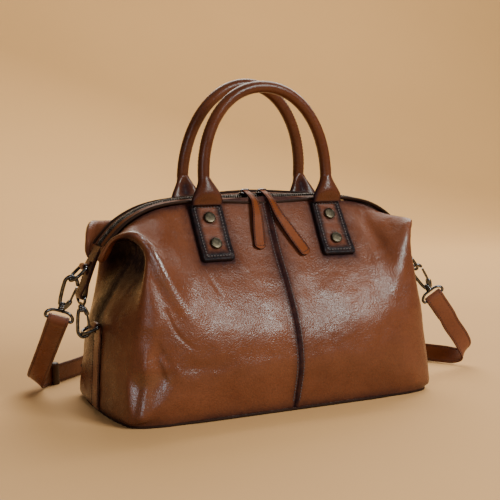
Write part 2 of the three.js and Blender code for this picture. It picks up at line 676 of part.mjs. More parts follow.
function gateGeometry() {
  const [pivot, tip] = [inHook(GATE.pivot), inHook(GATE.tip)];
  const along = tip.clone().sub(pivot);
  const bar = new THREE.BoxGeometry(GATE.bar, GATE.width, along.length())
    .translate(0, 0, along.length() / 2)
    .rotateY(Math.atan2(along.x, along.z));
  const eye = rod(new THREE.Vector3(0, 0, 0), ACROSS, GATE.eye, GATE.width, 8);
  const bore = rod(new THREE.Vector3(0, 0, 0), ACROSS, GATE.bore, 2 * GATE.width, 8);
  return joined([bar, eye], [bore]);
}
function eyeGeometry() {
  const { bar, halfWidth, shoulder, wire: radius, pin, head, headThickness, corner, sides } = EYE;
  const slopeZ = -shoulder - EYE.slopeDrop;
  const outline = [
    [0, -shoulder], [EYE.top, -shoulder], [EYE.slopeX, slopeZ],
    [halfWidth, corner - bar], [halfWidth - corner / 2, -bar], [0, -bar], [corner / 2 - halfWidth, -bar],
    [-halfWidth, corner - bar], [-EYE.slopeX, slopeZ], [-EYE.top, -shoulder],
  ];
  const loop = wire(outline.map(inHook), ACROSS, radius, sides, true);
  const headZ = HOOK.barrelHalf + GAP;
  const stem = rod(new THREE.Vector3(0, 0, (headZ - shoulder) / 2), UP, pin, headZ + shoulder);
  const cap = rod(new THREE.Vector3(0, 0, headZ + headThickness / 2), UP, head, headThickness);
  return joined([loop, stem, cap]);
}
const [upperRingSolid, lowerRingSolid] = [ringGeometry(RING.upperDepth), ringGeometry(RING.lowerDepth)];
const [hookSolid, gateSolid, eyeSolid] = [hookGeometry(), gateGeometry(), eyeGeometry()];

// A group whose local Z points along nose and whose local X is near across
function placed(origin, across, nose) {
  const group = new THREE.Group();
  const x = squareTo(across, nose);
  group.quaternion.setFromRotationMatrix(new THREE.Matrix4().makeBasis(x, nose.clone().cross(x), nose));
  group.position.copy(origin);
  bag.add(group);
  return group;
}
function addHook(name, end, swivel, { across, eyeAcross, nose, scale }) {
  const group = placed(swivel, across, nose);
  group.scale.setScalar(scale);
  const x = squareTo(across, nose);
  const y = nose.clone().cross(x);
  add(`${name}_${end}`, hookSolid, GUNMETAL, group);
  const gate = add(`${name}_gate_${end}`, gateSolid, GUNMETAL, group);
  gate.position.copy(inHook(GATE.pivot));
  const eye = add(`${name}_eye_${end}`, eyeSolid, GUNMETAL, group);
  eye.rotation.z = Math.atan2(eyeAcross.dot(y), eyeAcross.dot(x));
}

// The hanging leather tail past each end of the zip, with a loop round the tail hook's eye
const Y = new THREE.Vector3(0, 1, 0);
function tailFrames(side) {
  const [from, to] = [ridgeParameter(ZIP_END_X + 2 * GAP), ridgeParameter(TAIL.endX)];
  const frames = [];
  for (let i = 0; i <= TAIL.rows; i += 1) {
    const part = i / TAIL.rows;
    const x = ridgeCurve.getPoint(THREE.MathUtils.lerp(from, to, part)).x;
    frames.push({ ...ridgeFrame(side * x), part });
  }
  return frames;
}
function tailBar(side) {
  const last = tailFrames(side).at(-1);
  return moved(onBand(last, 0, -TAIL.drop), last.along, TAIL.loop - TAIL.bite);
}
function tailGeometry(side) {
  const rows = tailFrames(side).map((frame) => ({
    at: onBand(frame, 0, -TAIL.drop),
    across: Y,
    width: 2 * THREE.MathUtils.lerp(TAIL.halfWidthTop, TAIL.halfWidthEnd, frame.part),
  }));
  const bar = tailBar(side);
  const loop = rod(bar, Y, TAIL.loop, 2 * TAIL.halfWidthEnd);
  return joined([stripAlong(rows, TAIL.thickness), loop], [rod(bar, Y, TAIL.hole, THROUGH)]);
}

// The strip up the middle of an end, with a loop round the lower ring's bar
function stripGeometry(end) {
  const lift = STRIP.lift + STRIP.thickness / 2;
  const rows = STRIP_STATIONS.map((station) => {
    const point = surfaces.front_right(SECTIONS.length - 1, station);
    const at = new THREE.Vector3(end.side * (point.x + lift), 0, point.z);
    return { at, across: Y, width: 2 * STRIP.halfWidth };
  });
  const bar = lowerBar(end);
  const loop = rod(bar, Y, STRIP.loop, 2 * STRIP.loopHalfWidth);
  return joined([stripAlong(rows, STRIP.thickness), loop], [rod(bar, Y, STRIP.hole, THROUGH)]);
}
// Where the tail hook holds the lower ring's bow, and the ring's bar on the end, one ring's depth away
function lowerSeat(end) {
  return moved(tailBar(end.side), unit(end.tailHook), (EYE.bar + RING_SEAT) * TAIL_HOOK_SCALE);
}
function lowerBar(end) {
  const seat = lowerSeat(end);
  const reach = Math.abs(seat.x) - STRIP.ringX;
  return new THREE.Vector3(end.side * STRIP.ringX, 0, seat.z + Math.sqrt(RING.lowerDepth ** 2 - reach ** 2));
}

// The small leather loop that holds the upper ring on the tail
function upperBar(end) {
  const out = TAIL.thickness / 2 - TAIL.drop + GAP + RING_LOOP.loop;
  return onBand(ridgeFrame(end.side * end.ringX), 0, out);
}
function ringLoopGeometry(end) {
  const frame = ridgeFrame(end.side * end.ringX);
  const out = TAIL.thickness / 2 - TAIL.drop + 2 * GAP + RING_LOOP.thickness / 2;
  const middle = onBand(frame, 0, out);
  const rows = [-0.5, 0.5].map((part) => ({
    at: moved(middle, frame.along, part * RING_LOOP.length),
    across: Y,
    width: 2 * RING_LOOP.halfWidth,
  }));
  const bar = upperBar(end);
  const loop = rod(bar, Y, RING_LOOP.loop, 2 * RING_LOOP.halfWidth);
  return joined([stripAlong(rows, RING_LOOP.thickness), loop], [rod(bar, Y, RING_LOOP.hole, THROUGH)]);
}

// Everything that hangs at one end. Gives the middle of the strap hook's bar and the ways of the hook.
function addEnd(end) {
  add(`zip_tail_${end.name}`, tailGeometry(end.side), LEATHER);
  add(`ring_loop_${end.name}`, ringLoopGeometry(end), LEATHER);
  add(`end_strip_${end.name}`, stripGeometry(end), LEATHER);

  const ringDown = unit(end.ring);
  const upper = placed(upperBar(end), Y, ringDown.clone().negate());
  add(`upper_ring_${end.name}`, upperRingSolid, GUNMETAL, upper);
  const nose = unit(end.hook);
  const eyeAcross = squareTo(vec(end.eyeAcross), nose);
  const swivel = moved(moved(upperBar(end), ringDown, RING.upperDepth), nose, -RING_SEAT);
  addHook("strap_hook", end.name, swivel, { across: vec(end.across), eyeAcross, nose, scale: 1 });

  const tailNose = unit(end.tailHook);
  const tailSwivel = moved(tailBar(end.side), tailNose, EYE.bar * TAIL_HOOK_SCALE);
  const tailHook = { across: vec(end.tailAcross), eyeAcross: Y, nose: tailNose, scale: TAIL_HOOK_SCALE };
  addHook("tail_hook", end.name, tailSwivel, tailHook);
  const bar = lowerBar(end);
  const lower = placed(bar, Y, bar.clone().sub(lowerSeat(end)).normalize());
  add(`lower_ring_${end.name}`, lowerRingSolid, GUNMETAL, lower);
  return { bar: moved(swivel, nose, -EYE.bar), across: eyeAcross };
}
const [leftHook, rightHook] = ENDS.map(addEnd);

// Strap: a flap folded over each hook's bar, then the way round
function strapEnd(hook, first) {
  const across = hook.across;
  const down = squareTo(vec(first.at).sub(hook.bar).normalize(), across);
  const out = down.clone().cross(across);
  const front = out.y < 0 ? out : out.negate();
  const { flap, wrap, close, meet, apart } = STRAP;
  const rows = [
    { below: flap, side: -apart / 2, steps: 2 },
    { below: meet, side: -wrap * close, steps: 1 },
    { below: 0, side: -wrap, steps: 2 },
    { below: -wrap, side: 0, steps: 2 },
    { below: 0, side: wrap, steps: 1 },
    { below: meet, side: wrap * close, steps: 1 },
    { below: flap, side: apart / 2, steps: 2 },
  ];
  return rows.map(({ below, side, steps }) => ({
    at: moved(moved(hook.bar, down, below), front, side),
    across: across.clone(),
    steps,
  }));
}
const route = STRAP_ROUTE.map((row) => ({ at: vec(row.at), across: unit(row.across), steps: row.steps }));
const startRows = strapEnd(leftHook, STRAP_ROUTE[0]);
const endRows = strapEnd(rightHook, STRAP_ROUTE.at(-1)).reverse();
endRows.forEach((row) => row.across.negate());
const strapRows = [...startRows, ...route, ...endRows];
const strapCurve = new THREE.CatmullRomCurve3(strapRows.map((row) => row.at), false, "centripetal");
function strapAt(place) {
  const i = Math.min(Math.floor(place), strapRows.length - 2);
  const across = strapRows[i].across.clone().lerp(strapRows[i + 1].across, place - i).normalize();
  const t = place / (strapRows.length - 1);
  return { at: strapCurve.getPoint(t), along: strapCurve.getTangent(t), across, width: STRAP.width };
}
function strapGeometry() {
  const places = [];
  strapRows.forEach((row, i) => {
    const steps = i === strapRows.length - 1 ? 1 : row.steps;
    for (let k = 0; k < steps; k += 1) places.push(i + k / steps);
  });
  return stripAlong(places.map(strapAt), STRAP.thickness);
}
function strapHoles() {
  const first = startRows.length + STRAP_HOLES.row;
  const holes = [];
  for (let k = 0; k < STRAP_HOLES.count; k += 1) {
    const row = strapAt(first + (k * STRAP_HOLES.pitch) / strapRows[first + 1].at.distanceTo(strapRows[first].at));
    const across = squareTo(row.across, row.along);
    holes.push(rod(row.at, row.along.cross(across), STRAP_HOLES.radius, 4 * STRAP.thickness, 8));
  }
  return holes;
}
add("strap", joined([strapGeometry()], strapHoles()), LEATHER);

function addKeeper() {
  const row = strapAt(startRows.length + KEEPER.row);
  const across = squareTo(row.across, row.along);
  const halfWidth = STRAP.width / 2 + KEEPER.clear;
  const halfThick = STRAP.thickness / 2 + KEEPER.clear;
  const corners = (grow) =>
    [[-1, -1], [1, -1], [1, 1], [-1, 1]].map(
      ([a, b]) => new THREE.Vector2(a * (halfWidth + grow), b * (halfThick + grow)),
    );
  const shape = new THREE.Shape(corners(KEEPER.wall));
  shape.holes.push(new THREE.Path(corners(0)));
  const geometry = new THREE.ExtrudeGeometry(shape, { depth: KEEPER.length, bevelEnabled: false });
  geometry.translate(0, 0, -KEEPER.length / 2);
  add("strap_keeper", geometry, LEATHER, placed(row.at, across, row.along.normalize()));
}
addKeeper();

export default bag;
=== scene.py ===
# A zipped leather shoulder bag with rolled handles and a strap on snap hooks, dressed over its solids.
# Sizes are millimetres until a mesh is made. X runs along the bag, the front faces -Y and Z is up.
import math

import bmesh
import bpy
import numpy as np
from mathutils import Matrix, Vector, noise


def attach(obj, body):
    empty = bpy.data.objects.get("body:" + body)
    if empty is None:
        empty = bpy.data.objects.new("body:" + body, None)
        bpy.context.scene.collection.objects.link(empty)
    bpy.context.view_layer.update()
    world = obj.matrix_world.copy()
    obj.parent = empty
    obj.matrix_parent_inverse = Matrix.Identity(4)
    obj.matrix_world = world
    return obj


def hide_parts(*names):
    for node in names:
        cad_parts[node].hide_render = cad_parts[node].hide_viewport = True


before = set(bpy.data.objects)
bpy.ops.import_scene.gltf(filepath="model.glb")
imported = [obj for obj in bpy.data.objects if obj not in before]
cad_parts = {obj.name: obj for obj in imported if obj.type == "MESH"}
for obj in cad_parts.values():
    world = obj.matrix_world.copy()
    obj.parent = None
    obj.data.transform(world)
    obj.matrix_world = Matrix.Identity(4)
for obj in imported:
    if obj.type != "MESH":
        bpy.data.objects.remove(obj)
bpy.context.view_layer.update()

MM = 0.001
WALL = 2.4
GAP = 0.3
SEAM_HALF_GAP = 0.15
BASE_THICKNESS = 2.4
FOOT_Z = BASE_THICKNESS + GAP

# The zip's line over the top of the bag, from the middle to one end
RIDGE = np.array([
    (0, 0, 204), (70, 0, 203.5), (115, 0, 198.5), (145, 0, 185.5),
    (164, 0, 168), (174.5, 0, 152.5), (180.5, 0, 138), (189, 0, 113),
], float)
ZIP_END_X = 169.5
LIP_DROP = 6

# Sections of a quarter of the body, from the middle of the front to the middle of the end. Each has its
# points at the foot, belly, wall, mid, tuck, crest and roof, the lip's ridge x and y, and its share of the
# wing's offset.
SECTIONS = [
    [(0, 79), (0, 88.5, 40), (0, 87.5, 60), (0, 82, 80), (0, 73.5, 98),
     (0, 61, 120), (0, 38, 156), (0, 15), 0],
    [(45, 79), (45, 89, 40), (45, 88, 61), (45, 83, 81), (45, 74.5, 99),
     (45, 62, 121), (45, 39, 157), (45, 15), 0],
    [(82, 79), (84, 88.5, 38), (83, 87, 62), (81, 83, 84), (80, 75, 104),
     (80, 62.5, 126), (80, 39, 160), (80, 15), 0],
    [(112, 79), (115, 87, 32), (113, 85, 66), (110, 80.5, 95), (108, 73.5, 114),
     (107, 62, 134), (107, 38, 165), (108, 15), 0],
    [(138.5, 78), (142, 83.5, 24), (138, 81, 74), (133, 76, 112), (130, 70.5, 138),
     (129, 60, 157), (128, 38, 174), (129, 15), 0.4],
    [(160.5, 70), (163.5, 73.5, 15), (155, 70, 80), (148, 67, 122), (145, 63, 152),
     (150, 53, 173.5), (148, 35, 178.5), (147, 15), 1],
    [(167.5, 48), (169.8, 51, 14), (162.5, 50, 80), (151, 47, 122), (144, 43, 154),
     (164, 34, 167), (161, 25, 169), (160, 15), 0.6],
    [(170, 25), (171.8, 26, 14), (166.5, 26, 80), (152.5, 24, 122), (141, 22, 154),
     (170.5, 18.5, 148.5), (167, 16.5, 151.5), (169, 12), 0],
    [(170.5, 0), (172.2, 0, 14), (167.5, 0, 80), (153, 0, 122), (139, 0, 155),
     (163, 0, 146), (165, 3, 149), (171, 5), 0],
]
WING_SHARES = [0, 0, 0, 0, 0.4, 1, 0.4, 0]
# Each quarter's side in x and y, and how its wing sits out and up against the table
QUARTERS = {
    "front_left": (-1, -1, -0.5, -1), "front_right": (1, -1, 1, 0.5),
    "back_left": (-1, 1, 4, 3), "back_right": (1, 1, 2, 2),
}
LAST_SECTION = len(SECTIONS) - 1
LAST_STATION = len(WING_SHARES) - 1
CLOTH_STEP = 2.2

TAB = {"x": 67, "top": 193.5, "bottom": 143.5, "half": 16.5, "thick": 3.6, "lift": 0.9}
RIVET = {"radius": 5.8, "upper": 181.5, "lower": 158}
HANDLE = {"neck": 222, "radius": 5.8}
# The two arches. shift and lean move the necks and the top along the bag; neck_y and top_y are how far back
# they stand.
ARCHES = {
    "front": {"facing": -1, "span": 68.2, "shift": -1.2, "lean": -2.5, "rise": 88, "power": 2.1,
              "neck_y": -22, "top_y": -21},
    "back": {"facing": 1, "span": 67.2, "shift": 0, "lean": 0, "rise": 93, "power": 2,
             "neck_y": 35, "top_y": 24},
}
FLARE = {"half": 16, "thick": 2.4, "rise": 12, "power": 4}
PIPING = {"y": 17.2, "up": -2.6, "radius": 1.5}
BAND_LEAN = {"slope": 0.3, "width": 60}
BASE_PIPING = {"out": 1.3, "tuck": -0.9, "z": 1.5, "radius": 1.15}
SLIDER = {"length": 12, "width": 8, "height": 2.1, "post": 1.9, "bridge": 1.4, "clear": 2.2}
PULL = {"width": 12.5, "neck": 6.6, "thick": 1.9, "top": 190}
PULLS = [("left", -14, (-19, 152)), ("right", 5, (31, 145))]
RING = {"half": 9, "upper": 18, "lower": 14.5, "wire": 1.6}
HOOK = {"wire": 1.8, "top": 31, "barrel": 3.6, "bore": 1.85, "half": 3}
HOOK_PATH = np.array([
    (-2.7, 0, 1.4), (-3.7, 0, 6), (-4.3, 0, 12), (-4.7, 0, 20), (-4.2, 0, 26.5),
    (-0.4, 0, 30.7), (4.8, 0, 29.3), (7.2, 0, 25.6), (7.5, 0, 23.4),
], float)
GATE = {"pivot": (5.4, 0, 6.2), "tip": (7.4, 0, 22.2), "bar": 2.2, "width": 3, "eye": 2.3, "bore": 1.4,
        "pin": 1.05}
CHEEK = 1.3
CHEEK_PLAN = [(1.0, -2.2), (4.4, -0.6), (7.2, 4.6), (7.4, 7.2), (5.6, 8.6), (3.6, 7.6), (1.8, 4.0)]
EYE = {"bar": 13, "half": 13, "shoulder": 4.5, "wire": 1.5, "pin": 1.5, "head": 2.1}
RING_SEAT = HOOK["top"] - HOOK["wire"] - RING["wire"] - 2.5 * GAP
TAIL_HOOK_SCALE = 0.9
TAIL = {"top": 12, "end": 9.3, "thick": 3.4, "drop": 3, "loop": 4, "bite": 0.8, "hole": 1.75,
        "end_x": 187.6}
STRIP = {"half": 10, "thick": 2.2, "ply": 1.9, "lift": 0.4, "loop_half": 7.5, "hole": 1.95, "ring_x": 171.8}
RING_LOOP = {"half": 7, "thick": 1.5, "loop": 3.5, "hole": 1.95}
ENDS = [
    {"name": "left", "side": -1, "ring_x": 180, "ring": (-0.74, 0, -0.673), "hook": (0.24, -0.25, 0.94),
     "across": (0.87, -0.38, -0.32), "eye": (0.916, -0.26, -0.303), "tail": (0.02, 0, -1),
     "tail_across": (0.95, -0.3, 0)},
    {"name": "right", "side": 1, "ring_x": 183.5, "ring": (0.64, 0, -0.768), "hook": (-0.6, 0.1, 0.8),
     "across": (0.77, -0.15, 0.6), "eye": (0.754, -0.304, 0.586), "tail": (-0.02, 0, -1),
     "tail_across": (-0.95, -0.3, 0)},
]
STRAP = {"width": 20, "thick": 2.4, "flap": 28, "wrap": 3.3, "close": 0.75, "meet": 9, "apart": 3.3,
         "step": 1.8, "groove": 2.4, "sewn": 2.3}
# The strap's way round behind the bag: a point, and the way its width points there
STRAP_ROUTE = [
    ((-204.9, 46, 60), (0.916, -0.26, -0.303)), ((-204.8, 78, 33), (0.916, -0.26, -0.303)),
    ((-204.5, 96, 18.5), (0.85, -0.36, -0.4)), ((-203, 106, 11), (0.66, -0.5, -0.56)),
    ((-198, 113, 9.9), (0.34, -0.4, -0.85)), ((-188, 121, 10.5), (0.05, -0.06, -1)),
    ((-170, 133, 10.6), (0, 0, -1)), ((-140, 157, 10.4), (0, 0, -1)), ((-90, 206, 10.4), (0, 0, -1)),
    ((0, 246, 10.4), (0, 0, -1)), ((95, 222, 10.4), (0, 0, -1)), ((180, 147, 10.4), (0, 0, -1)),
    ((222, 83, 10.4), (0, 0, -1)), ((243, 46, 10.5), (-0.03, -0.05, -1)),
    ((257, 23, 10.4), (-0.2, -0.3, -0.93)), ((266, 8.5, 10.8), (-0.52, -0.45, -0.7)),
    ((269.5, 1.5, 15), (-0.66, -0.25, -0.7)), ((268, -2, 23), (-0.72, 0.05, -0.68)),
    ((260, -3.5, 35), (-0.745, 0.25, -0.61)), ((246, -4.5, 51.5), (-0.754, 0.304, -0.586)),
]
KEEPER = {"row": 5.6, "wall": 3.0, "clear": 0.3, "length": 10}
STRAP_HOLES = {"row": 7, "radius": 1.6, "count": 4, "pitch": 24}
# Pitch and thickness of the stitches in each kind of piece
STITCH = {"seam": (3.0, 0.45), "zip": (3.2, 0.32), "tab": (3.1, 0.62), "handle": (3.4, 0.36),
          "pull": (2.6, 0.4), "strip": (2.8, 0.3), "strap": (3.4, 0.3)}
FACES = (("front", -1), ("back", 1))
SIDES = (("left", -1), ("right", 1))
X_AXIS, Y_AXIS, Z_AXIS = np.eye(3)


# Numbers and curves
def unit(v):
    v = np.asarray(v, float)
    return v / np.linalg.norm(v, axis=-1, keepdims=True)


def square_to(across, along):
    across = np.asarray(across, float)
    return unit(across - along * np.sum(across * along, axis=-1, keepdims=True))


def ease(low, high, value):
    """A smooth step from 0 at low to 1 at high."""
    t = np.clip((np.asarray(value, float) - low) / (high - low), 0, 1)
    return t * t * (3 - 2 * t)


def bell(value, width):
    """A bump that is 1 at zero and falls off over a width."""
    return np.exp(-((np.asarray(value, float) / width) ** 2))


def lerp(a, b, t):
    return a + (b - a) * t


def bend(a, corner, b, t):
    """A curve from a to b that starts and ends towards corner."""
    return (1 - t) ** 2 * a + 2 * t * (1 - t) * corner + t * t * b


def single(values):
    """The first row of each of several arrays."""
    return [value[0] for value in values]


def ghosted(rows):
    """Rows with one more at each end, carried on straight."""
    return np.concatenate([2 * rows[:1] - rows[1:2], rows, 2 * rows[-1:] - rows[-2:-1]])


def hermite(p1, p2, m1, m2, w):
    return p1 + w * (m1 + w * (3 * (p2 - p1) - 2 * m1 - m2 + w * (2 * (p1 - p2) + m1 + m2)))


def around(rows, places):
    """The four rows round each place, and how far the place is past the second of them."""
    rows = np.asarray(rows, float)
    places = np.atleast_1d(np.asarray(places, float))
    i = np.clip(np.floor(places).astype(int), 0, len(rows) - 2)
    pads = ghosted(rows)
    past = (places - i).reshape((-1,) + (1,) * (rows.ndim - 1))
    return pads[i], pads[i + 1], pads[i + 2], pads[i + 3], past


def spline(rows, places):
    """Evenly timed curve through rows, at places counted in rows."""
    p0, p1, p2, p3, past = around(rows, places)
    return hermite(p1, p2, 0.5 * (p2 - p0), 0.5 * (p3 - p1), past)


def slack_spline(rows, places):
    """Curve through unevenly spaced points, timed by the roots of their distances so that it never loops."""
    p0, p1, p2, p3, past = around(rows, places)
    pairs = ((p0, p1), (p1, p2), (p2, p3))
    d0, d1, d2 = [np.sum((b - a) ** 2, -1, keepdims=True) ** 0.25 for a, b in pairs]
    m1 = ((p1 - p0) / d0 - (p2 - p0) / (d0 + d1) + (p2 - p1) / d1) * d1
    m2 = ((p2 - p1) / d1 - (p3 - p1) / (d1 + d2) + (p3 - p2) / d2) * d1
    return hermite(p1, p2, m1, m2, past)


def lengths(points):
    """The length along a line at each of its points."""
    return np.concatenate([[0], np.cumsum(np.linalg.norm(np.diff(points, axis=0), axis=1))])


def at_length(points, values, wanted):
    """values given along a line of points, read at lengths along it."""
    run = lengths(points)
    return np.stack([np.interp(wanted, run, values[:, k]) for k in range(values.shape[1])], -1)


def even_line(points, step):
    run = lengths(points)[-1]
    return at_length(points, points, np.linspace(0, run, max(int(run / step), 2) + 1))


def even_loop(points, step):
    """A closed line in even steps, without its first point again at the end."""
    return even_line(np.concatenate([points, points[:1]]), step)[:-1]


def tangents(points, closed=False):
    if closed:
        return unit(np.roll(points, -1, 0) - np.roll(points, 1, 0))
    return unit(np.gradient(points, axis=0))


def frames_along(points, across, closed=False):
    """The ways along a line, across it near a given way, and out of both."""
    along = tangents(points, closed)
    side = square_to(np.broadcast_to(across, points.shape), along)
    return along, side, np.cross(along, side)


def line_distance(points, line):
    """Distance from each point to a line of points, and the share of the line at the nearest place."""
    best, part = np.full(len(points), 1e9), np.zeros(len(points))
    count = len(line) - 1
    for k, (a, b) in enumerate(zip(line[:-1], line[1:])):
        t = np.clip((points - a) @ (b - a) / np.dot(b - a, b - a), 0, 1)
        distance = np.linalg.norm(points - a - t[:, None] * (b - a), axis=1)
        nearer = distance < best
        best = np.where(nearer, distance, best)
        part = np.where(nearer, (k + t) / count, part)
    return best, part


def noise_at(points, size, seed):
    """Soft noise of a size at points."""
    offset = Vector((seed * 7.31, seed * 3.17, seed * 5.53))
    return np.array([noise.noise(Vector(p) / size + offset) for p in points])


# Ridge and zip band
RIDGE_PLACES = np.linspace(0, len(RIDGE) - 1, 4001)
RIDGE_POINTS = spline(RIDGE, RIDGE_PLACES)


def ridge_place(x):
    return np.interp(np.abs(x), RIDGE_POINTS[:, 0], RIDGE_PLACES)


def ridge_frame(x):
    """Points on the ridge, the ways up from it and the ways along it outwards, at several x."""
    x = np.atleast_1d(np.asarray(x, float))
    side = np.where(x < 0, -1.0, 1.0)
    place = ridge_place(x)
    point = spline(RIDGE, place)
    way = unit(spline(RIDGE, place + 1e-4) - spline(RIDGE, place - 1e-4))
    zero = np.zeros(len(x))
    up = np.stack([-side * way[:, 2], zero, way[:, 0]], -1)
    along = np.stack([side * way[:, 0], zero, way[:, 2]], -1)
    return point * np.stack([side, zero, zero + 1], -1), up, along


def on_band(x, y, up):
    """Points over the zip's line. The band leans to the front in the middle of the bag."""
    point, rise, _ = ridge_frame(x)
    point = point + rise * np.reshape(up, (-1, 1))
    point[:, 1] = y
    point[:, 2] += BAND_LEAN["slope"] * y * bell(x, BAND_LEAN["width"])
    return point


# Body surface
def control(quarter):
    """The table of points that a quarter's surface goes through."""
    side_x, side_y, out, up = QUARTERS[quarter]
    table = np.zeros((len(SECTIONS), len(WING_SHARES), 3))
    for i, section in enumerate(SECTIONS):
        wing = section[-1]
        for j, share in enumerate(WING_SHARES[:-1]):
            x, y, z = (*section[j], FOOT_Z)[:3]
            table[i, j] = side_x * (x + share * wing * out), side_y * y, z + share * wing * up
        lip_x, lip_y = section[LAST_STATION]
        lip = on_band(lip_x, lip_y, -LIP_DROP)[0]
        table[i, LAST_STATION] = side_x * lip[0], side_y * lip_y, lip[2]
    return table


CONTROLS = {name: control(name) for name in QUARTERS}


def surface(name, s, v):
    """Points of a quarter at sections s and stations v, in pairs."""
    s, v = [np.ravel(a) for a in np.broadcast_arrays(np.asarray(s, float), np.asarray(v, float))]
    rows = np.swapaxes(spline(CONTROLS[name], s), 0, 1)
    pads = ghosted(rows)
    i = np.clip(np.floor(v).astype(int), 0, LAST_STATION - 1)
    k = np.arange(len(v))
    p0, p1, p2, p3 = [pads[i + step, k] for step in range(4)]
    return hermite(p1, p2, 0.5 * (p2 - p0), 0.5 * (p3 - p1), (v - i)[:, None])


# Rough sections by x and stations by height on the front and back, where the search for a place starts
START_SECTIONS = ([0, 45, 80, 107, 129], [0, 1, 2, 3, 4])
START_STATIONS = ([61, 82, 101, 124, 160, 197], [2, 3, 4, 5, 6, 7])


def body_at(x, z, facing):
    """Points on the front or back of the body at given x and heights, and the ways out of it there."""
    x, z = [np.ravel(a) for a in np.broadcast_arrays(np.asarray(x, float), np.asarray(z, float))]
    points, normals = np.zeros((len(x), 3)), np.zeros((len(x), 3))
    for side, mask in ((-1, x < 0), (1, x >= 0)):
        if not mask.any():
            continue
        name = f"{'front' if facing < 0 else 'back'}_{'left' if side < 0 else 'right'}"
        want = np.stack([np.abs(x[mask]), z[mask]], -1)
        s = np.interp(want[:, 0], *START_SECTIONS)
        v = np.interp(want[:, 1], *START_STATIONS)
        step = 1e-3
        for _ in range(12):
            here = surface(name, s, v)
            ds = (surface(name, s + step, v) - here) / step
            dv = (surface(name, s, v + step) - here) / step
            a, b, c, d = side * ds[:, 0], side * dv[:, 0], ds[:, 2], dv[:, 2]
            ex, ez = want[:, 0] - side * here[:, 0], want[:, 1] - here[:, 2]
            det = a * d - b * c
            s = np.clip(s + np.clip((ex * d - ez * b) / det, -0.5, 0.5), -0.2, 5)
            v = np.clip(v + np.clip((ez * a - ex * c) / det, -0.5, 0.5), 1, 7)
        normal = unit(np.cross(ds, dv))
        points[mask] = here
        normals[mask] = normal * (np.sign(normal[:, 1]) * facing)[:, None]
    return points, normals


# Meshes: each maker gives points and faces
def grid_faces(rows, cols, start=0, wrap=False):
    index = start + np.arange(rows * cols).reshape(rows, cols)
    if wrap:
        index = np.concatenate([index, index[:, :1]], 1)
    quads = np.stack([index[:-1, :-1], index[1:, :-1], index[1:, 1:], index[:-1, 1:]], -1)
    return quads.reshape(-1, 4).tolist()


def slab(top, bottom):
    """A closed sheet between two grids."""
    rows, cols = top.shape[:2]
    count = rows * cols
    index = np.arange(count).reshape(rows, cols)
    rim = np.concatenate([index[0], index[1:, -1], index[-1, -2::-1], index[-2:0:-1, 0]])
    ahead = np.roll(rim, -1)
    walls = np.stack([rim, ahead, ahead + count, rim + count], -1).tolist()
    lower = [face[::-1] for face in grid_faces(rows, cols, count)]
    points = np.concatenate([top.reshape(-1, 3), bottom.reshape(-1, 3)])
    return points, grid_faces(rows, cols) + lower + walls


def tube(rings, closed=False):
    """A closed body through rings of points."""
    rings = np.asarray(rings, float)
    count, sides = rings.shape[:2]
    if closed:
        faces = grid_faces(count + 1, sides, wrap=True)
        faces = [[k % (count * sides) for k in face] for face in faces]
    else:
        faces = grid_faces(count, sides, wrap=True)
        faces += [list(range(sides)), list(range((count - 1) * sides, count * sides))[::-1]]
    return rings.reshape(-1, 3), faces


def join(parts):
    """Several parts as one."""
    points, faces, start = [], [], 0
    for part_points, part_faces in parts:
        points.append(part_points)
        faces += [[k + start for k in face] for face in part_faces]
        start += len(part_points)
    return np.concatenate(points), faces


def circle(radius, sides):
    angle = (np.arange(sides) + 0.5) / sides * 2 * math.pi
    return radius * np.stack([np.cos(angle), np.sin(angle)], -1)


def rounded(corners, radius, steps=4):
    """A closed outline with its corners rounded."""
    corners = np.asarray(corners, float)
    out = []
    for i, corner in enumerate(corners):
        back, ahead = corners[i - 1] - corner, corners[(i + 1) % len(corners)] - corner
        reach = min(radius, 0.49 * np.linalg.norm(back), 0.49 * np.linalg.norm(ahead))
        a, b = corner + unit(back) * reach, corner + unit(ahead) * reach
        for t in np.linspace(0, 1, steps + 1):
            out.append(bend(a, corner, b, t))
    return np.array(out)


def box_outline(left, right, low, high, radius, steps):
    """A rectangle with its corners rounded."""
    return rounded([(left, low), (right, low), (right, high), (left, high)], radius, steps)


def upright(outline, y):
    """An outline of x and z as points at one y."""
    return np.stack([outline[:, 0], np.full(len(outline), y), outline[:, 1]], -1)


def bar_outline(half_width, half_thick, radius, steps=4, flats=0):
    """A flat bar's rounded section, with extra points across its two broad sides."""
    corners = box_outline(-half_width, half_width, -half_thick, half_thick, radius, steps)
    if not flats:
        return corners
    per = steps + 1
    spread = np.linspace(0, 1, flats + 2)[1:-1, None]
    low = lerp(corners[per - 1], corners[per], spread)
    high = lerp(corners[3 * per - 1], corners[3 * per], spread)
    return np.concatenate([corners[:per], low, corners[per:3 * per], high, corners[3 * per:]])


def sweep(points, across, sections, closed=False):
    """A section, or one for each point, carried along a line whose width points across."""
    _, side, out = frames_along(points, across, closed)
    sections = np.broadcast_to(sections, (len(points),) + np.shape(sections)[-2:])
    rings = points[:, None] + side[:, None] * sections[..., :1] + out[:, None] * sections[..., 1:]
    return tube(rings, closed)


def lathe(profile, sides):
    """A turned body about local Z from a profile of radius and height."""
    rings = []
    for radius, height in profile:
        rings.append(np.c_[circle(max(radius, 1e-3), sides), np.full(sides, height)])
    return tube(rings)


def ring_lathe(profile, sides=24):
    """A turned body with a hole, from a closed profile of radius and height."""
    outline = np.asarray(profile, float)
    angle = np.arange(sides) / sides * 2 * math.pi
    rings = [np.c_[outline[:, 0] * math.cos(a), outline[:, 0] * math.sin(a), outline[:, 1]] for a in angle]
    return tube(rings, closed=True)


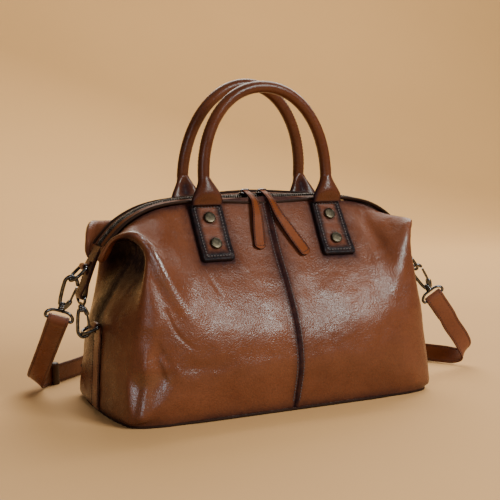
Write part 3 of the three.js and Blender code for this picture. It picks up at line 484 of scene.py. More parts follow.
def placed(part, origin, x_way, z_way):
    """A part moved so that its own Z points along z_way and its own X near x_way."""
    z_way = unit(z_way)
    x_way = square_to(x_way, z_way)
    basis = np.stack([x_way, np.cross(z_way, x_way), z_way])
    return part[0] @ basis + origin, part[1]


def scaled(part, factor):
    return part[0] * factor, part[1]


def stitches(lines):
    """Threads along lines of points that lie on a surface.

    Each line is points, ways out, pitch and thickness.
    """
    share = np.array([-1, -0.72, 0, 0.72, 1])
    thick = np.array([0.35, 0.9, 1, 0.9, 0.35])
    raise_by = np.array([-0.9, 0.1, 0.45, 0.1, -0.9])
    sides = 6
    hoop = circle(1, sides)
    parts = []
    for points, ways, pitch, radius in lines:
        run = lengths(points)[-1]
        count = max(int(run / pitch), 1)
        middle = (np.arange(count) + 0.5) * run / count
        reach = 0.39 * run / count
        start = at_length(points, points, middle - reach)
        end = at_length(points, points, middle + reach)
        out = unit(at_length(points, ways, middle))
        along = unit(end - start)
        side = np.cross(out, along)
        out = np.cross(along, side)
        half = np.linalg.norm(end - start, axis=1) / 2
        centre = (start + end) / 2
        for k in range(count):
            spine = centre[k] + np.outer(share * half[k], along[k]) + np.outer(raise_by * radius, out[k])
            rings = spine[:, None] + radius * thick[:, None, None] * (
                hoop[None, :, :1] * side[k] + hoop[None, :, 1:] * out[k])
            parts.append(tube(rings))
    return join(parts)


CREASE_ANGLE = math.radians(40)


def add_piece(name, part, material, nodes=(), body="root", burnish_and_shade=None, dull=None):
    """A dressed piece of a body, with the nodes that it stands for."""
    points, faces = part
    mesh = bpy.data.meshes.new(name)
    mesh.from_pydata((points * MM).tolist(), [], faces)
    for key, values in (("burnish_and_shade", burnish_and_shade), ("dull", dull)):
        if values is not None:
            layer = mesh.attributes.new(key, "FLOAT", "POINT")
            layer.data.foreach_set("value", np.asarray(values, np.float32))
    work = bmesh.new()
    work.from_mesh(mesh)
    bmesh.ops.recalc_face_normals(work, faces=work.faces)
    work.to_mesh(mesh)
    work.free()
    mesh.polygons.foreach_set("use_smooth", [True] * len(mesh.polygons))
    mesh.set_sharp_from_angle(angle=CREASE_ANGLE)
    mesh.materials.append(material)
    piece = bpy.data.objects.new(name, mesh)
    bpy.context.collection.objects.link(piece)
    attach(piece, body)
    if nodes:
        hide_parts(*nodes)


# Materials
class Shader:
    def __init__(self, name):
        self.material = bpy.data.materials.new(name)
        self.material.use_nodes = True
        self.nodes = self.material.node_tree.nodes
        self.links = self.material.node_tree.links
        self.surface = self.nodes["Principled BSDF"]
        self.place = self.nodes.new("ShaderNodeTexCoord").outputs["Object"]

    def put(self, socket, value):
        if isinstance(value, bpy.types.NodeSocket):
            self.links.new(value, socket)
        else:
            socket.default_value = value

    def node(self, kind, inputs, **settings):
        made = self.nodes.new(kind)
        for key, value in settings.items():
            setattr(made, key, value)
        for key, value in inputs.items():
            self.put(made.inputs[key], value)
        return made

    def noise(self, scale, detail=3, rough=0.5):
        inputs = {"Vector": self.place, "Scale": scale, "Detail": detail, "Roughness": rough}
        return self.node("ShaderNodeTexNoise", inputs).outputs["Fac"]

    def cells(self, scale, place):
        inputs = {"Vector": place, "Scale": scale, "Smoothness": 0.35}
        return self.node("ShaderNodeTexVoronoi", inputs, feature="SMOOTH_F1").outputs["Distance"]

    def waves(self, scale, direction):
        inputs = {"Vector": self.place, "Scale": scale, "Distortion": 0.6}
        return self.node("ShaderNodeTexWave", inputs, bands_direction=direction).outputs["Fac"]

    def math(self, operation, a, b=0.0, c=0.0, clamp=False):
        made = self.node("ShaderNodeMath", {0: a, 1: b, 2: c}, operation=operation, use_clamp=clamp)
        return made.outputs[0]

    def span(self, value, low, high, to_low=0.0, to_high=1.0):
        made = self.node("ShaderNodeMapRange", {"Value": value, "From Min": low, "From Max": high,
                                                "To Min": to_low, "To Max": to_high})
        return made.outputs["Result"]

    def mix(self, factor, a, b):
        made = self.node("ShaderNodeMix", {"Factor": factor}, data_type="RGBA")
        for key, tone in ((6, a), (7, b)):
            self.put(made.inputs[key], tone if isinstance(tone, bpy.types.NodeSocket) else (*tone, 1))
        return made.outputs[2]

    def attribute(self, name):
        return self.node("ShaderNodeAttribute", {}, attribute_name=name).outputs["Fac"]

    def bump(self, height, distance, strength=1.0, under=None):
        inputs = {"Height": height, "Distance": distance, "Strength": strength}
        if under is not None:
            inputs["Normal"] = under
        return self.node("ShaderNodeBump", inputs).outputs["Normal"]

    def finish(self, **sockets):
        for key, value in sockets.items():
            self.put(self.surface.inputs[key.replace("_", " ")], value)
        return self.material


WAX_TINT = (0.78, 0.95, 1.0, 1.0)
# Dark tones of burnish; on the body the brown black is also painted shade on the ends and in hollows
BROWN_BLACK, BLUE_BLACK = (0.016, 0.0095, 0.013), (0.010, 0.008, 0.010)


def leather(name, tone, shade, burnish_and_shade_tone=BROWN_BLACK, grain=1.6, depth=0.18, rough=0.27, shine=0.32,
            dark_shine=0.02):
    """Pebbled, hand-burnished leather. grain and depth are the pebbles' size and height in millimetres.

    The mesh's darkening attribute goes to 1 where the leather is darkened, by burnish at edges and seams and
    by painted shade on the ends, in hollows and in the handles' flares, and to -1 where it is rubbed to a
    shine.
    Darkened leather keeps the share dark_shine of the shine. The mesh's dull is the share of shine it loses.
    """
    s = Shader(name)
    # Pebbles in two sizes, swayed out of even rows, with pores on them and soft waves under them
    sway = s.math("MULTIPLY", s.noise(260, 2), 0.0022)
    shift = s.node("ShaderNodeVectorMath", {0: s.place, 1: sway}, operation="ADD").outputs[0]
    pebble = s.cells(1000 / grain, shift)
    small = s.cells(1750 / grain, shift)
    pores = s.noise(1900, 2, 0.6)
    height = s.math("ADD", s.math("MULTIPLY", pebble, -1.0), s.math("MULTIPLY", small, -0.5))
    height = s.math("ADD", height, s.math("MULTIPLY", pores, 0.45))
    normal = s.bump(height, depth * MM, 1.0, s.bump(s.noise(75, 3, 0.5), 0.4 * MM, 0.5))
    # Cloudy tone with specks, darker between the pebbles
    clouds = s.span(s.noise(13, 5, 0.6), 0.36, 0.64, 0, 0.75)
    specks = s.span(s.noise(420, 3, 0.6), 0.35, 0.65, 0, 0.2)
    base = s.mix(s.math("ADD", clouds, specks), tone, shade)
    crevice = s.span(pebble, 0.4, 0.85, 0, 0.22)
    base = s.mix(crevice, base, tuple(0.4 * c for c in shade))
    # Burnish and painted shade, with a rubbed border
    edge = s.attribute("burnish_and_shade")
    rub = s.span(s.noise(170, 4, 0.65), 0.3, 0.7, -0.5, 0.5)
    border = s.math("MULTIPLY", edge, s.math("SUBTRACT", 1.15, edge))
    burn_and_shade = s.math("MULTIPLY_ADD", border, rub, edge, clamp=True)
    base = s.mix(burn_and_shade, base, burnish_and_shade_tone)
    # Gloss
    polish = s.math("MULTIPLY", edge, -1.0, clamp=True)
    gloss = s.span(s.noise(60, 4, 0.6), 0.3, 0.7, rough - 0.06, rough + 0.08)
    gloss = s.math("MULTIPLY_ADD", crevice, 0.3, gloss)
    gloss = s.math("MULTIPLY_ADD", polish, -0.05, gloss)
    level = s.math("MULTIPLY_ADD", polish, 0.6, s.span(burn_and_shade, 0, 1, shine, dark_shine * shine))
    level = s.math("MULTIPLY", level, s.math("SUBTRACT", 1.0, s.attribute("dull")))
    return s.finish(Base_Color=base, Roughness=gloss, Normal=normal, Specular_IOR_Level=level,
                    Specular_Tint=WAX_TINT)


def metal(name, tone, worn, rough):
    """Dark plated metal, worn through in patches."""
    s = Shader(name)
    wear = s.span(s.noise(240, 5, 0.65), 0.42, 0.68)
    base = s.mix(wear, tone, worn)
    gloss = s.span(s.noise(700, 4, 0.6), 0.3, 0.7, rough - 0.07, rough + 0.1)
    normal = s.bump(s.noise(1800, 3, 0.5), 0.02 * MM, 0.6)
    return s.finish(Base_Color=base, Roughness=gloss, Normal=normal, Metallic=1.0)


def woven(name, tone, shade, pitch):
    """Plain weave with its threads a pitch apart, in millimetres."""
    s = Shader(name)
    scale = 1000 / pitch / 6.28
    weave = s.math("MULTIPLY", s.waves(scale, "X"), s.waves(scale, "Y"))
    return s.finish(Base_Color=s.mix(weave, shade, tone),
                    Roughness=s.span(s.noise(500), 0.3, 0.7, 0.75, 0.95),
                    Normal=s.bump(weave, 0.12 * MM))


def studio(name, tone, shade):
    """Matt backdrop paper."""
    s = Shader(name)
    base = s.mix(s.span(s.noise(2.2, 3), 0.3, 0.7), tone, shade)
    return s.finish(Base_Color=base, Roughness=s.span(s.noise(900, 2), 0.3, 0.7, 0.82, 0.92),
                    Normal=s.bump(s.noise(1500, 2), 0.03 * MM, 0.4))


TAN, TAN_SHADE = (0.178, 0.06, 0.027), (0.116, 0.037, 0.017)
body_leather = leather("body_leather", TAN, TAN_SHADE)
tab_leather = leather("tab_leather", (0.18, 0.06, 0.029), (0.115, 0.037, 0.019), BLUE_BLACK, grain=1.8,
                      rough=0.29, shine=0.16, dark_shine=0.35)
handle_leather = leather("handle_leather", (0.115, 0.036, 0.015), (0.068, 0.02, 0.009), grain=1.7,
                         depth=0.1, rough=0.25, shine=0.25)
strap_leather = leather("strap_leather", (0.2, 0.072, 0.037), (0.135, 0.045, 0.024), grain=1.5, depth=0.1,
                        shine=0.26)
pull_leather = leather("pull_leather", (0.195, 0.056, 0.017), (0.135, 0.036, 0.011), grain=1.5, depth=0.08,
                       shine=0.03)
trim_leather = leather("trim_leather", (0.034, 0.017, 0.011), (0.02, 0.011, 0.008), grain=1.4, depth=0.08,
                       rough=0.45, shine=0.03)
facing_leather = leather("facing_leather", (0.15, 0.055, 0.025), (0.1, 0.036, 0.016), grain=1.5, depth=0.08,
                         shine=0.01)
tail_leather = leather("tail_leather", (0.115, 0.043, 0.022), (0.075, 0.027, 0.014), grain=1.5, depth=0.1,
                       shine=0.2)
keeper_leather = leather("keeper_leather", (0.075, 0.03, 0.015), (0.045, 0.018, 0.009), grain=1.5,
                         depth=0.1, shine=0.26)
thread = woven("thread", (0.04, 0.024, 0.02), (0.016, 0.01, 0.009), 0.25)
dark_thread = woven("dark_thread", (0.15, 0.13, 0.132), (0.06, 0.052, 0.054), 0.25)
# Near-black cloth for the discs that stand for the strap's holes: painted shade
painted_hole_shade = woven("painted_hole_shade", (0.008, 0.005, 0.004), (0.004, 0.003, 0.003), 0.4)
tape_cloth = woven("tape_cloth", (0.03, 0.022, 0.018), (0.01, 0.008, 0.007), 0.55)
gunmetal = metal("gunmetal", (0.06, 0.064, 0.072), (0.19, 0.2, 0.22), 0.2)
tooth_metal = metal("tooth_metal", (0.05, 0.043, 0.037), (0.17, 0.145, 0.12), 0.38)
brass = metal("antique_brass", (0.05, 0.044, 0.03), (0.1, 0.088, 0.06), 0.34)


# Body panels
TAB_CENTRES = [-TAB["x"], TAB["x"]]


def even_places(last, run):
    """Places counted in rows, closer where the rows are further apart."""
    places = []
    for i in range(last):
        count = max(int(math.ceil(run[i] / CLOTH_STEP)), 2)
        places += list(i + np.arange(count) / count)
    return np.array(places + [last])


widest = CONTROLS["back_right"]
section_runs = np.linalg.norm(np.diff(widest, axis=0), axis=-1)[:, 1:7].max(axis=1)
station_runs = np.linalg.norm(np.diff(widest, axis=1), axis=-1).max(axis=0)
SECTION_PLACES = even_places(LAST_SECTION, section_runs)
STATION_PLACES = even_places(LAST_STATION, station_runs)


def quarter_grid(name):
    """Outer points of a quarter by section and station."""
    side_x, side_y = QUARTERS[name][:2]
    s, v = np.meshgrid(SECTION_PLACES, STATION_PLACES, indexing="ij")
    grid = surface(name, s, v).reshape(*s.shape, 3)
    grid[..., 0] = side_x * np.maximum(side_x * grid[..., 0], 0)
    grid[..., 1] = side_y * np.maximum(side_y * grid[..., 1], SEAM_HALF_GAP)
    return grid, s, v


def grid_normals(grid, facing):
    ds, dv = np.gradient(grid, axis=0), np.gradient(grid, axis=1)
    normal = np.cross(ds, dv)
    normal /= np.maximum(np.linalg.norm(normal, axis=-1, keepdims=True), 1e-9)
    middle = normal[len(grid) // 3, grid.shape[1] // 4]
    return normal * (1 if middle[1] * facing > 0 else -1)


def tab_distance(points):
    """How far points on the front or back lie outside the nearest handle tab, in x and z."""
    best = np.full(len(points), 1e9)
    for x in TAB_CENTRES:
        dx = np.abs(points[:, 0] - x) - TAB["half"]
        dz = np.maximum(TAB["bottom"] - points[:, 2], points[:, 2] - TAB["top"])
        outside = np.hypot(np.maximum(dx, 0), np.maximum(dz, 0))
        best = np.minimum(best, outside + np.minimum(np.maximum(dx, dz), 0))
    return best


# Folds of the soft leather: how far they stand out, half their width, or its two ends, and a line of places
# by section and station
FOLDS = [
    (2.6, (2.2, 10),
     [(7.1, 5.2), (6.13, 5.2), (5.5, 5.02), (5.0, 5.0), (4.66, 4.9), (4.48, 4.68), (4.38, 4.4),
      (4.22, 4.09), (3.95, 3.79), (3.65, 3.58), (3.14, 3.28), (2.55, 3.08), (2.08, 2.92)]),
    (-3.4, (7, 9),
     [(4.92, 4.6), (4.82, 4.25), (4.62, 3.85), (4.3, 3.48), (3.95, 3.24), (3.4, 2.92), (2.7, 2.72)]),
]
FOLD_SHARES = {"front_left": 1, "front_right": 0.25, "back_left": 0.8, "back_right": 0.5}
# Small creases and waves of single quarters
OWN_FOLDS = {
    "front_left": [
        (-0.7, 2.2, [(2.1, 5.3), (1.9, 4.9), (1.75, 4.4)]),
        (0.9, 7, [(2.9, 6.3), (2.7, 5.5), (2.3, 4.6)]),
        (2.6, (7, 4), [(4.5, 1.8), (4.52, 1.3), (4.6, 0.8), (4.72, 0.2)]),
        (-3.0, 7, [(4.2, 1.8), (3.95, 1.55), (3.6, 1.35)]),
        (1.6, 7, [(4.85, 2.3), (4.4, 2.35), (4.0, 2.3)]),
        (-0.9, 1.7, [(3.9, 2.85), (3.5, 2.5), (3.1, 2.3), (2.5, 2.1)]),
        (0.9, 2.4, [(3.9, 1.75), (3.7, 1.5), (3.5, 1.3)]),
        (-1.0, 3.0, [(4.1, 2.0), (3.8, 1.8), (3.6, 1.6)]),
        (1.2, 6, [(3.4, 1.5), (3.0, 1.3), (2.4, 1.2)]),
        (-1.1, 6, [(2.9, 1.7), (2.3, 1.6), (1.6, 1.6)]),
    ],
    "front_right": [(1.5, 6.5, [(2.6, 6.7), (2.75, 6.0), (2.95, 5.2), (3.0, 4.4)]),
                    (-1.6, 6, [(3.15, 6.6), (3.3, 5.8), (3.45, 5.0), (3.5, 4.2)]),
                    (1.1, 8, [(0.9, 4.6), (1.4, 4.2), (2.1, 4.0)])],
    "back_left": [], "back_right": [],
}
# The pressed-in facet at the lower left corner of the front: the way it faces, its distance, how far it is
# pressed, its upper end and how softly it ends there
CORNER_FACET = {"way": unit((-0.47, -0.84, 0.26)), "reach": 142.5, "depth": 0.95, "top": 56, "fade": 20}
# Loose waves of the leather: their height, size and seed
WAVES = [(1.3, 42, 1), (0.55, 17, 2), (0.22, 7, 3)]
# How dark the leather is burnished beside other pieces, from none to one, and how far that spreads
BURNISH = {"tab": (0.9, 4.2), "tab_halo": (0.5, 9), "foot": (0.5, 6), "lip": (0.8, 0.16),
           "seam": (0.86, 3.4)}
# How far the rows of stitches are from the front's seam, how dark the wider band along it is, the width of
# the shine along the main fold, and the depth of the hollow under an end's rim
SEAM_ROW = 3.4
SEAM_HALO = 0.6
POLISH_WIDTH = 3.6
POCKET_DEPTH = 9
# How dark the painted shade down the middle of an end is on the front panels and on the back panel
END_PAINTED_SHADE = {"front": 0.25, "back": 0.98}


def fold_place(name, points, places):
    """Distance from each point to a fold's line, and the share of the line at the nearest place."""
    line = surface(name, *slack_spline(np.array(places, float), np.linspace(0, len(places) - 1, 30)).T)
    return line_distance(points, line)


def fold_lift(name, points, folds, share):
    """How far folds lift the leather. Each one fades out over the last two fifths of its line."""
    lift = np.zeros(len(points))
    for height, width, places in folds:
        distance, part = fold_place(name, points, places)
        first, last = np.broadcast_to(width, 2)
        lift += share * height * bell(distance, lerp(first, last, part)) * ease(0, 0.4, 1 - part)
    return lift


def pocket_depth(s, v):
    """How deep the hollow under an end's rim is, from none to one."""
    return ease(5.0, 6.6, s) * ease(2.2, 3.7, v) * ease(0.0, 0.3, 5.08 - v)


def burnished(place, distance):
    """How dark the leather is at distances from one of the burnished places."""
    dark, width = BURNISH[place]
    return dark * bell(distance, width)


def end_painted_shade(face, s, v, pocket):
    """Painted shade on an end, from none to one: all over, in the hollow, down its middle and under the
    wing's rim.
    """
    return np.max([
        0.2 * ease(6, 7.4, s),
        0.98 * ease(0, 0.6, pocket) * ease(2.0, 3.7, v),
        END_PAINTED_SHADE[face] * bell(s - 7.5, 1.1) * ease(0.9, 2.1, v) * ease(0, 0.2, 5.05 - v),
        0.8 * ease(4.8, 5.5, s) * ease(3.6, 4.6, v) * ease(0, 0.2, 5.12 - v),
    ], 0)


def dullness(name, s, v):
    """The share of shine that is lost: most on the wings' roofs, and some above the tabs' lower ends."""
    kept_shine = ease(1, 2, s) if name == "front_right" else 0
    wing = 0.85 * ease(3.2, 4.2, s) * ease(5.1, 5.7, v)
    return np.maximum(wing, 0.6 * ease(5.0, 6.0, v) * (1 - kept_shine))


def dress(name, points, s, v):
    """How far the leather stands off its plain form, how dark it is from burnish and from painted shade, and
    how dull, at each point.
    """
    x, _, z = points.T
    face = name.split("_")[0]
    tabs = tab_distance(points)
    edge = ease(0, 0.5, v) * ease(0, 0.6, LAST_STATION - v) * ease(0, 0.6, LAST_SECTION - s)
    lift = sum(height * noise_at(points, size, seed) for height, size, seed in WAVES)
    lift += fold_lift(name, points, FOLDS, FOLD_SHARES[name]) + fold_lift(name, points, OWN_FOLDS[name], 1)
    pocket = pocket_depth(s, v)
    lift = lift * edge * ease(0, 14, tabs) - POCKET_DEPTH * pocket
    distance, part = fold_place(name, points, FOLDS[0][2])
    polish = FOLD_SHARES[name] * bell(distance, POLISH_WIDTH) * ease(0, 0.1, part) * ease(0, 0.4, 1 - part)
    if name == "front_left":
        cut = np.maximum(points @ CORNER_FACET["way"] - CORNER_FACET["reach"], 0)
        cut *= CORNER_FACET["depth"] * ease(0, CORNER_FACET["fade"], CORNER_FACET["top"] - z)
        lift -= cut
        polish = np.maximum(polish, 0.7 * ease(0.3, 2.5, cut))
    tabs = np.maximum(tabs, 0)
    burn_and_shade = np.maximum(burnished("tab", tabs), burnished("tab_halo", tabs)) * ease(1.5, 3.5, v)
    # Burnish beside the tabs, at the foot and at the lip, with painted shade on the ends and in the hollow
    # under each rim
    burn_and_shade = np.max([burn_and_shade, burnished("foot", z - FOOT_Z), burnished("lip", LAST_STATION - v),
                   end_painted_shade(face, s, v, pocket)], 0)
    if face == "front":
        off, high = np.abs(x), ease(40, 150, z)
        pucker = 0.1 * np.sin(z * 1.5) * bell(off - 6.0, 1.8)
        lift = lift * ease(2, 13, off) + 0.7 * bell(off - SEAM_ROW, 2.2) - 1.2 * bell(x, 1.0) + pucker
        core = burnished("seam", np.maximum(off - lerp(1.2, 3.2, high), 0))
        burn_and_shade = np.max([burn_and_shade, core, SEAM_HALO * bell(x, lerp(5, 13, high))], 0)
    return lift, burn_and_shade - polish * (1 - ease(0, 0.25, burn_and_shade)), dullness(name, s, v)


def quarter_sheets(name):
    """A quarter's outer and inner sheets, its ways out, its burnish with painted shade, and its dullness, by
    section and station.
    """
    side, facing = QUARTERS[name][:2]
    grid, s, v = quarter_grid(name)
    normals = grid_normals(grid, facing)
    lift, burn_and_shade, dull = dress(name, grid.reshape(-1, 3), s.ravel(), v.ravel())
    outer = grid + normals * lift.reshape(*s.shape, 1)
    inner = outer - normals * WALL
    middle = SEAM_HALF_GAP if facing < 0 else 0
    for sheet in (outer, inner):
        sheet[..., 0] = side * np.maximum(side * sheet[..., 0], middle)
        sheet[..., 1] = facing * np.maximum(facing * sheet[..., 1], SEAM_HALF_GAP)
        sheet[0, :, 0] = side * middle
    return outer, inner, normals, burn_and_shade.reshape(s.shape), dull.reshape(s.shape)


def add_panel(name, node, outer, inner, burn_and_shade, dull):
    """A body panel between its two sheets, burnished and darkened with painted shade on the outside."""
    add_piece(name, slab(outer, inner), body_leather, [node],
              burnish_and_shade=np.concatenate([burn_and_shade.ravel(), np.zeros(burn_and_shade.size)]), dull=np.tile(dull.ravel(), 2))


# Lines of stitches by the piece that they are in
stitch_lines = {}
# The grid's level on the front where the row of stitches beside the seam is measured
SEAM_LEVEL = 20
for end_name, _ in SIDES:
    outer, inner, normals, burn_and_shade, dull = quarter_sheets(f"front_{end_name}")
    add_panel(f"body_front_{end_name}", f"front_panel_{end_name}", outer, inner, burn_and_shade, dull)
    from_seam = np.abs(outer[:, SEAM_LEVEL, 0])
    row = int(np.argmax(from_seam > SEAM_ROW))
    share = (SEAM_ROW - from_seam[row - 1]) / (from_seam[row] - from_seam[row - 1])
    line, ways = lerp(outer[row - 1], outer[row], share), lerp(normals[row - 1], normals[row], share)
    stitch_lines[f"body_front_{end_name}"] = [((line + 0.15 * ways)[3:-3], ways[3:-3], *STITCH["seam"])]
halves = [quarter_sheets(name) for name in ("back_left", "back_right")]
outer, inner, _, burn_and_shade, dull = [np.concatenate([a[::-1], b[1:]]) for a, b in zip(*halves)]
add_panel("body_back", "back_panel", outer, inner, burn_and_shade, dull)


# Base and the roll round its edge
def outward(loop):
    """The ways out of a level closed loop."""
    out = np.cross(tangents(loop, closed=True), Z_AXIS)
    return out * np.sign(np.sum(out * loop, -1, keepdims=True))


foot_loop = []
for index, name in enumerate(("front_right", "back_right", "back_left", "front_left")):
    feet = surface(name, np.linspace(0, LAST_SECTION, 70), 0.0)
    foot_loop.append(feet[:-1] if index % 2 == 0 else feet[::-1][:-1])
foot_loop = np.concatenate(foot_loop)
foot_out = outward(foot_loop)
# Rings round the base: how far in from its edge, how high, and how dark
BASE_RINGS = [(60, 0, 0), (6, 0, 0), (0.9, 0, 0.8), (0.25, 0.25, 0.9), (0, 0.9, 0.9), (0, 1.9, 0.9),
              (0.4, BASE_THICKNESS, 0.6), (6, BASE_THICKNESS, 0), (60, BASE_THICKNESS, 0)]
rings = [foot_loop * (1, 1, 0) - foot_out * inset + Z_AXIS * height for inset, height, _ in BASE_RINGS]
base_burn = np.repeat([dark for _, _, dark in BASE_RINGS], len(foot_loop))
add_piece("base_leather", tube(rings), body_leather, ["base_panel"], burnish_and_shade=base_burn)
roll_line = even_loop(foot_loop, 2.5)
roll_out = outward(roll_line)
roll_reach = lerp(BASE_PIPING["out"], BASE_PIPING["tuck"], ease(85, 130, np.abs(roll_line[:, :1])))
roll_line = roll_line * (1, 1, 0) + roll_out * roll_reach + Z_AXIS * BASE_PIPING["z"]
base_roll = sweep(roll_line, Z_AXIS, circle(BASE_PIPING["radius"], 10), closed=True)
add_piece("base_roll", base_roll, trim_leather, ["base_piping"])

# Zip band
zip_places = np.linspace(-1, 1, 261)
zip_x = np.sign(zip_places) * spline(RIDGE, np.abs(zip_places) * ridge_place(ZIP_END_X))[:, 0]


def band(outline):
    """An outline of y and height carried along the zip."""
    return tube(np.stack([on_band(zip_x, y, up) for y, up in outline], 1))


add_piece("zip_cloth", band(box_outline(-8, 8, -5.1, -4.1, 0.4, 2)), tape_cloth, ["zip_tape"])
# A tooth's rings from its foot to its tip: how far from the middle, width, and lower and upper height
TOOTH_RINGS = [(2.75, 1.0, -3.7, -1.5), (2.2, 1.15, -3.7, -0.7), (1.4, 1.2, -3.5, -0.15),
               (0.2, 1.2, -3.4, 0), (-0.6, 0.95, -3.2, -0.25), (-0.95, 0.5, -2.8, -0.8)]
TOOTH_PITCH = 1.25


def zip_tooth(side):
    """One tooth: a foot on the tape's edge and a rounded head over the middle."""
    rings = []
    for y, width, low, high in TOOTH_RINGS:
        rings.append(upright(box_outline(-width / 2, width / 2, low, high, 0.35, 1), side * y))
    return tube(rings)


zip_line = on_band(zip_x, 0, 0)
zip_run = lengths(zip_line)
teeth = []
for k in range(int(zip_run[-1] / TOOTH_PITCH)):
    x = np.interp((k + 0.5) * TOOTH_PITCH, zip_run, zip_x)
    point, up, along = single(ridge_frame(x))
    teeth.append(placed(zip_tooth(1 if k % 2 else -1), point, along * np.sign(x or 1), up))
add_piece("zip_tooth_rows", join(teeth), tooth_metal, ["zip_teeth"])

# The section of a leather border beside the zip, as y and height, and the y of its row of stitches
BORDER_INNER, BORDER_OUTER = 5.2, 15.3
BORDER = [(BORDER_INNER, -3), (8.5, -3.56), (12, -4.14), (BORDER_OUTER, -4.7),
          (BORDER_OUTER, -2.9), (12, -2.34), (8.5, -1.76), (BORDER_INNER, -1.2)]
BORDER_ROW = 12.6
for face, facing in FACES:
    outline = rounded(BORDER, 0.9, 3) * (facing, 1)
    from_middle = np.abs(outline[:, 0])
    edge = np.maximum(bell(from_middle - BORDER_INNER, 1.4), bell(from_middle - BORDER_OUTER, 2.2))
    add_piece(f"zip_border_{face}", band(outline), facing_leather, [f"zip_facing_{face}"],
              burnish_and_shade=np.tile(0.9 * edge, len(zip_x)))
    line = on_band(zip_x, facing * PIPING["y"], PIPING["up"])
    roll = sweep(line, Y_AXIS, circle(PIPING["radius"], 12))
    add_piece(f"zip_roll_{face}", roll, trim_leather, [f"zip_piping_{face}"])
    row = on_band(zip_x, facing * BORDER_ROW, -2.42)
    stitch_lines[f"zip_border_{face}"] = [(row, ridge_frame(zip_x)[1], *STITCH["zip"])]

# Handle tabs and rivets
TAB_CORNER = 3.0
TAB_TALL = TAB["top"] - TAB["bottom"]
TAB_STITCH_INSET = 3.6


def edged_places(length, count):
    """Places along a length, close together near its two ends."""
    rim = np.linspace(0, 2, 7)
    return np.concatenate([rim, np.linspace(3, length - 3, count), length - rim[::-1]])


tab_u, tab_w = edged_places(2 * TAB["half"], 16), edged_places(TAB_TALL, 26)


def tab_surface(x, facing, u, w, height):
    """Points over a tab, u across it and w down from its top, at heights over the body."""
    points, normals = body_at(x + u, TAB["top"] - w, facing)
    return points + normals * np.reshape(height, (-1, 1)), normals


def tab_bulge(w):
    """How far a tab swells towards its lower edge, at depths below its top."""
    return 0.7 * bell(TAB_TALL - w - 6, 3.5)


def tab_part(x, facing):
    """A padded tab with rolled edges and a sewn groove, and its burnish."""
    u, w = [a.ravel() for a in np.meshgrid(tab_u, tab_w, indexing="ij")]
    low = np.maximum(w - (TAB_TALL - TAB_CORNER), 0)
    half = TAB["half"] + w / TAB_TALL - (TAB_CORNER - np.sqrt(np.maximum(TAB_CORNER ** 2 - low ** 2, 0.05)))
    across = (u / TAB["half"] - 1) * half
    inside = np.minimum(half - np.abs(across), TAB_TALL - w)
    edge = np.minimum(inside, w + 1)
    roll = 1.5
    crown = roll - np.sqrt(np.maximum(roll ** 2 - (roll - np.minimum(edge, roll)) ** 2, 0))
    groove = 0.6 * bell(inside - TAB_STITCH_INSET, 0.9)
    pad = 0.35 * ease(4, 7, inside)
    points = np.stack([across, 0 * across, w], -1)
    crinkle = 0.3 * noise_at(points * (0.35, 1, 1.6), 5, 5) * ease(4.5, 7, inside)
    top = TAB["lift"] + TAB["thick"] - crown - groove - pad + crinkle + tab_bulge(w)
    shape = (len(tab_u), len(tab_w), 3)
    sheets = [tab_surface(x, facing, across, w, height)[0].reshape(shape) for height in (top, TAB["lift"])]
    burn_and_shade = np.maximum(0.97 - 0.96 * ease(4.6, 11.5, inside), 0.5 * bell(w, 2.2))
    for place in ("upper", "lower"):
        from_cap = np.hypot(across, w - TAB["top"] + RIVET[place]) - RIVET["radius"]
        burn_and_shade = np.maximum(burn_and_shade, 0.6 * bell(from_cap, 1.2))
    return slab(*sheets), np.concatenate([burn_and_shade, np.ones(len(burn_and_shade))])


def tab_stitches(x, facing):
    """Lines of stitches round a tab."""
    side, low = TAB["half"] - TAB_STITCH_INSET, TAB_TALL - TAB_STITCH_INSET
    corners = [(-side, 2), (-side, low), (side, low), (side, 2)]
    lines = []
    t = np.linspace(0, 1, 24)
    for (u0, w0), (u1, w1) in zip(corners, corners[1:] + corners[:1]):
        w = lerp(w0, w1, t)
        height = TAB["lift"] + TAB["thick"] - 0.3 + tab_bulge(w)
        points, normals = tab_surface(x, facing, lerp(u0, u1, t), w, height)
        lines.append((points, normals, *STITCH["tab"]))
    return lines


RIVET_PROFILE = [(0, 0), (5.5, 0), (5.75, 0.2), (5.8, 0.9), (5.65, 1.4), (5.2, 1.72), (4.6, 1.82),
                 (2.4, 1.9), (0, 1.92)]
for face, facing in FACES:
    for end_name, side in SIDES:
        x = side * TAB["x"]
        part, burn_and_shade = tab_part(x, facing)
        add_piece(f"tab_{face}_{end_name}", part, tab_leather, [f"handle_tab_{face}_{end_name}"],
                  burnish_and_shade=burn_and_shade)
        stitch_lines[f"tab_{face}_{end_name}"] = tab_stitches(x, facing)
        for place in ("upper", "lower"):
            point, normal = single(body_at(x, RIVET[place], facing))
            seat = point + normal * (TAB["lift"] + TAB["thick"] + 2 * GAP)
            cap = placed(lathe(RIVET_PROFILE, 36), seat, X_AXIS, normal)
            add_piece(f"cap_{face}_{end_name}_{place}", cap, brass,
                      [f"rivet_{face}_{end_name}_{place}"])


# Handles: a rolled arch whose feet flare flat to meet the tabs
def power_ring(angle, wide, thick, power):
    """A ring between round and square: power 2 is an ellipse."""
    c, s = np.cos(angle), np.sin(angle)
    reach = 2 / power
    return np.stack([wide * np.sign(c) * np.abs(c) ** reach, thick * np.sign(s) * np.abs(s) ** reach], -1)


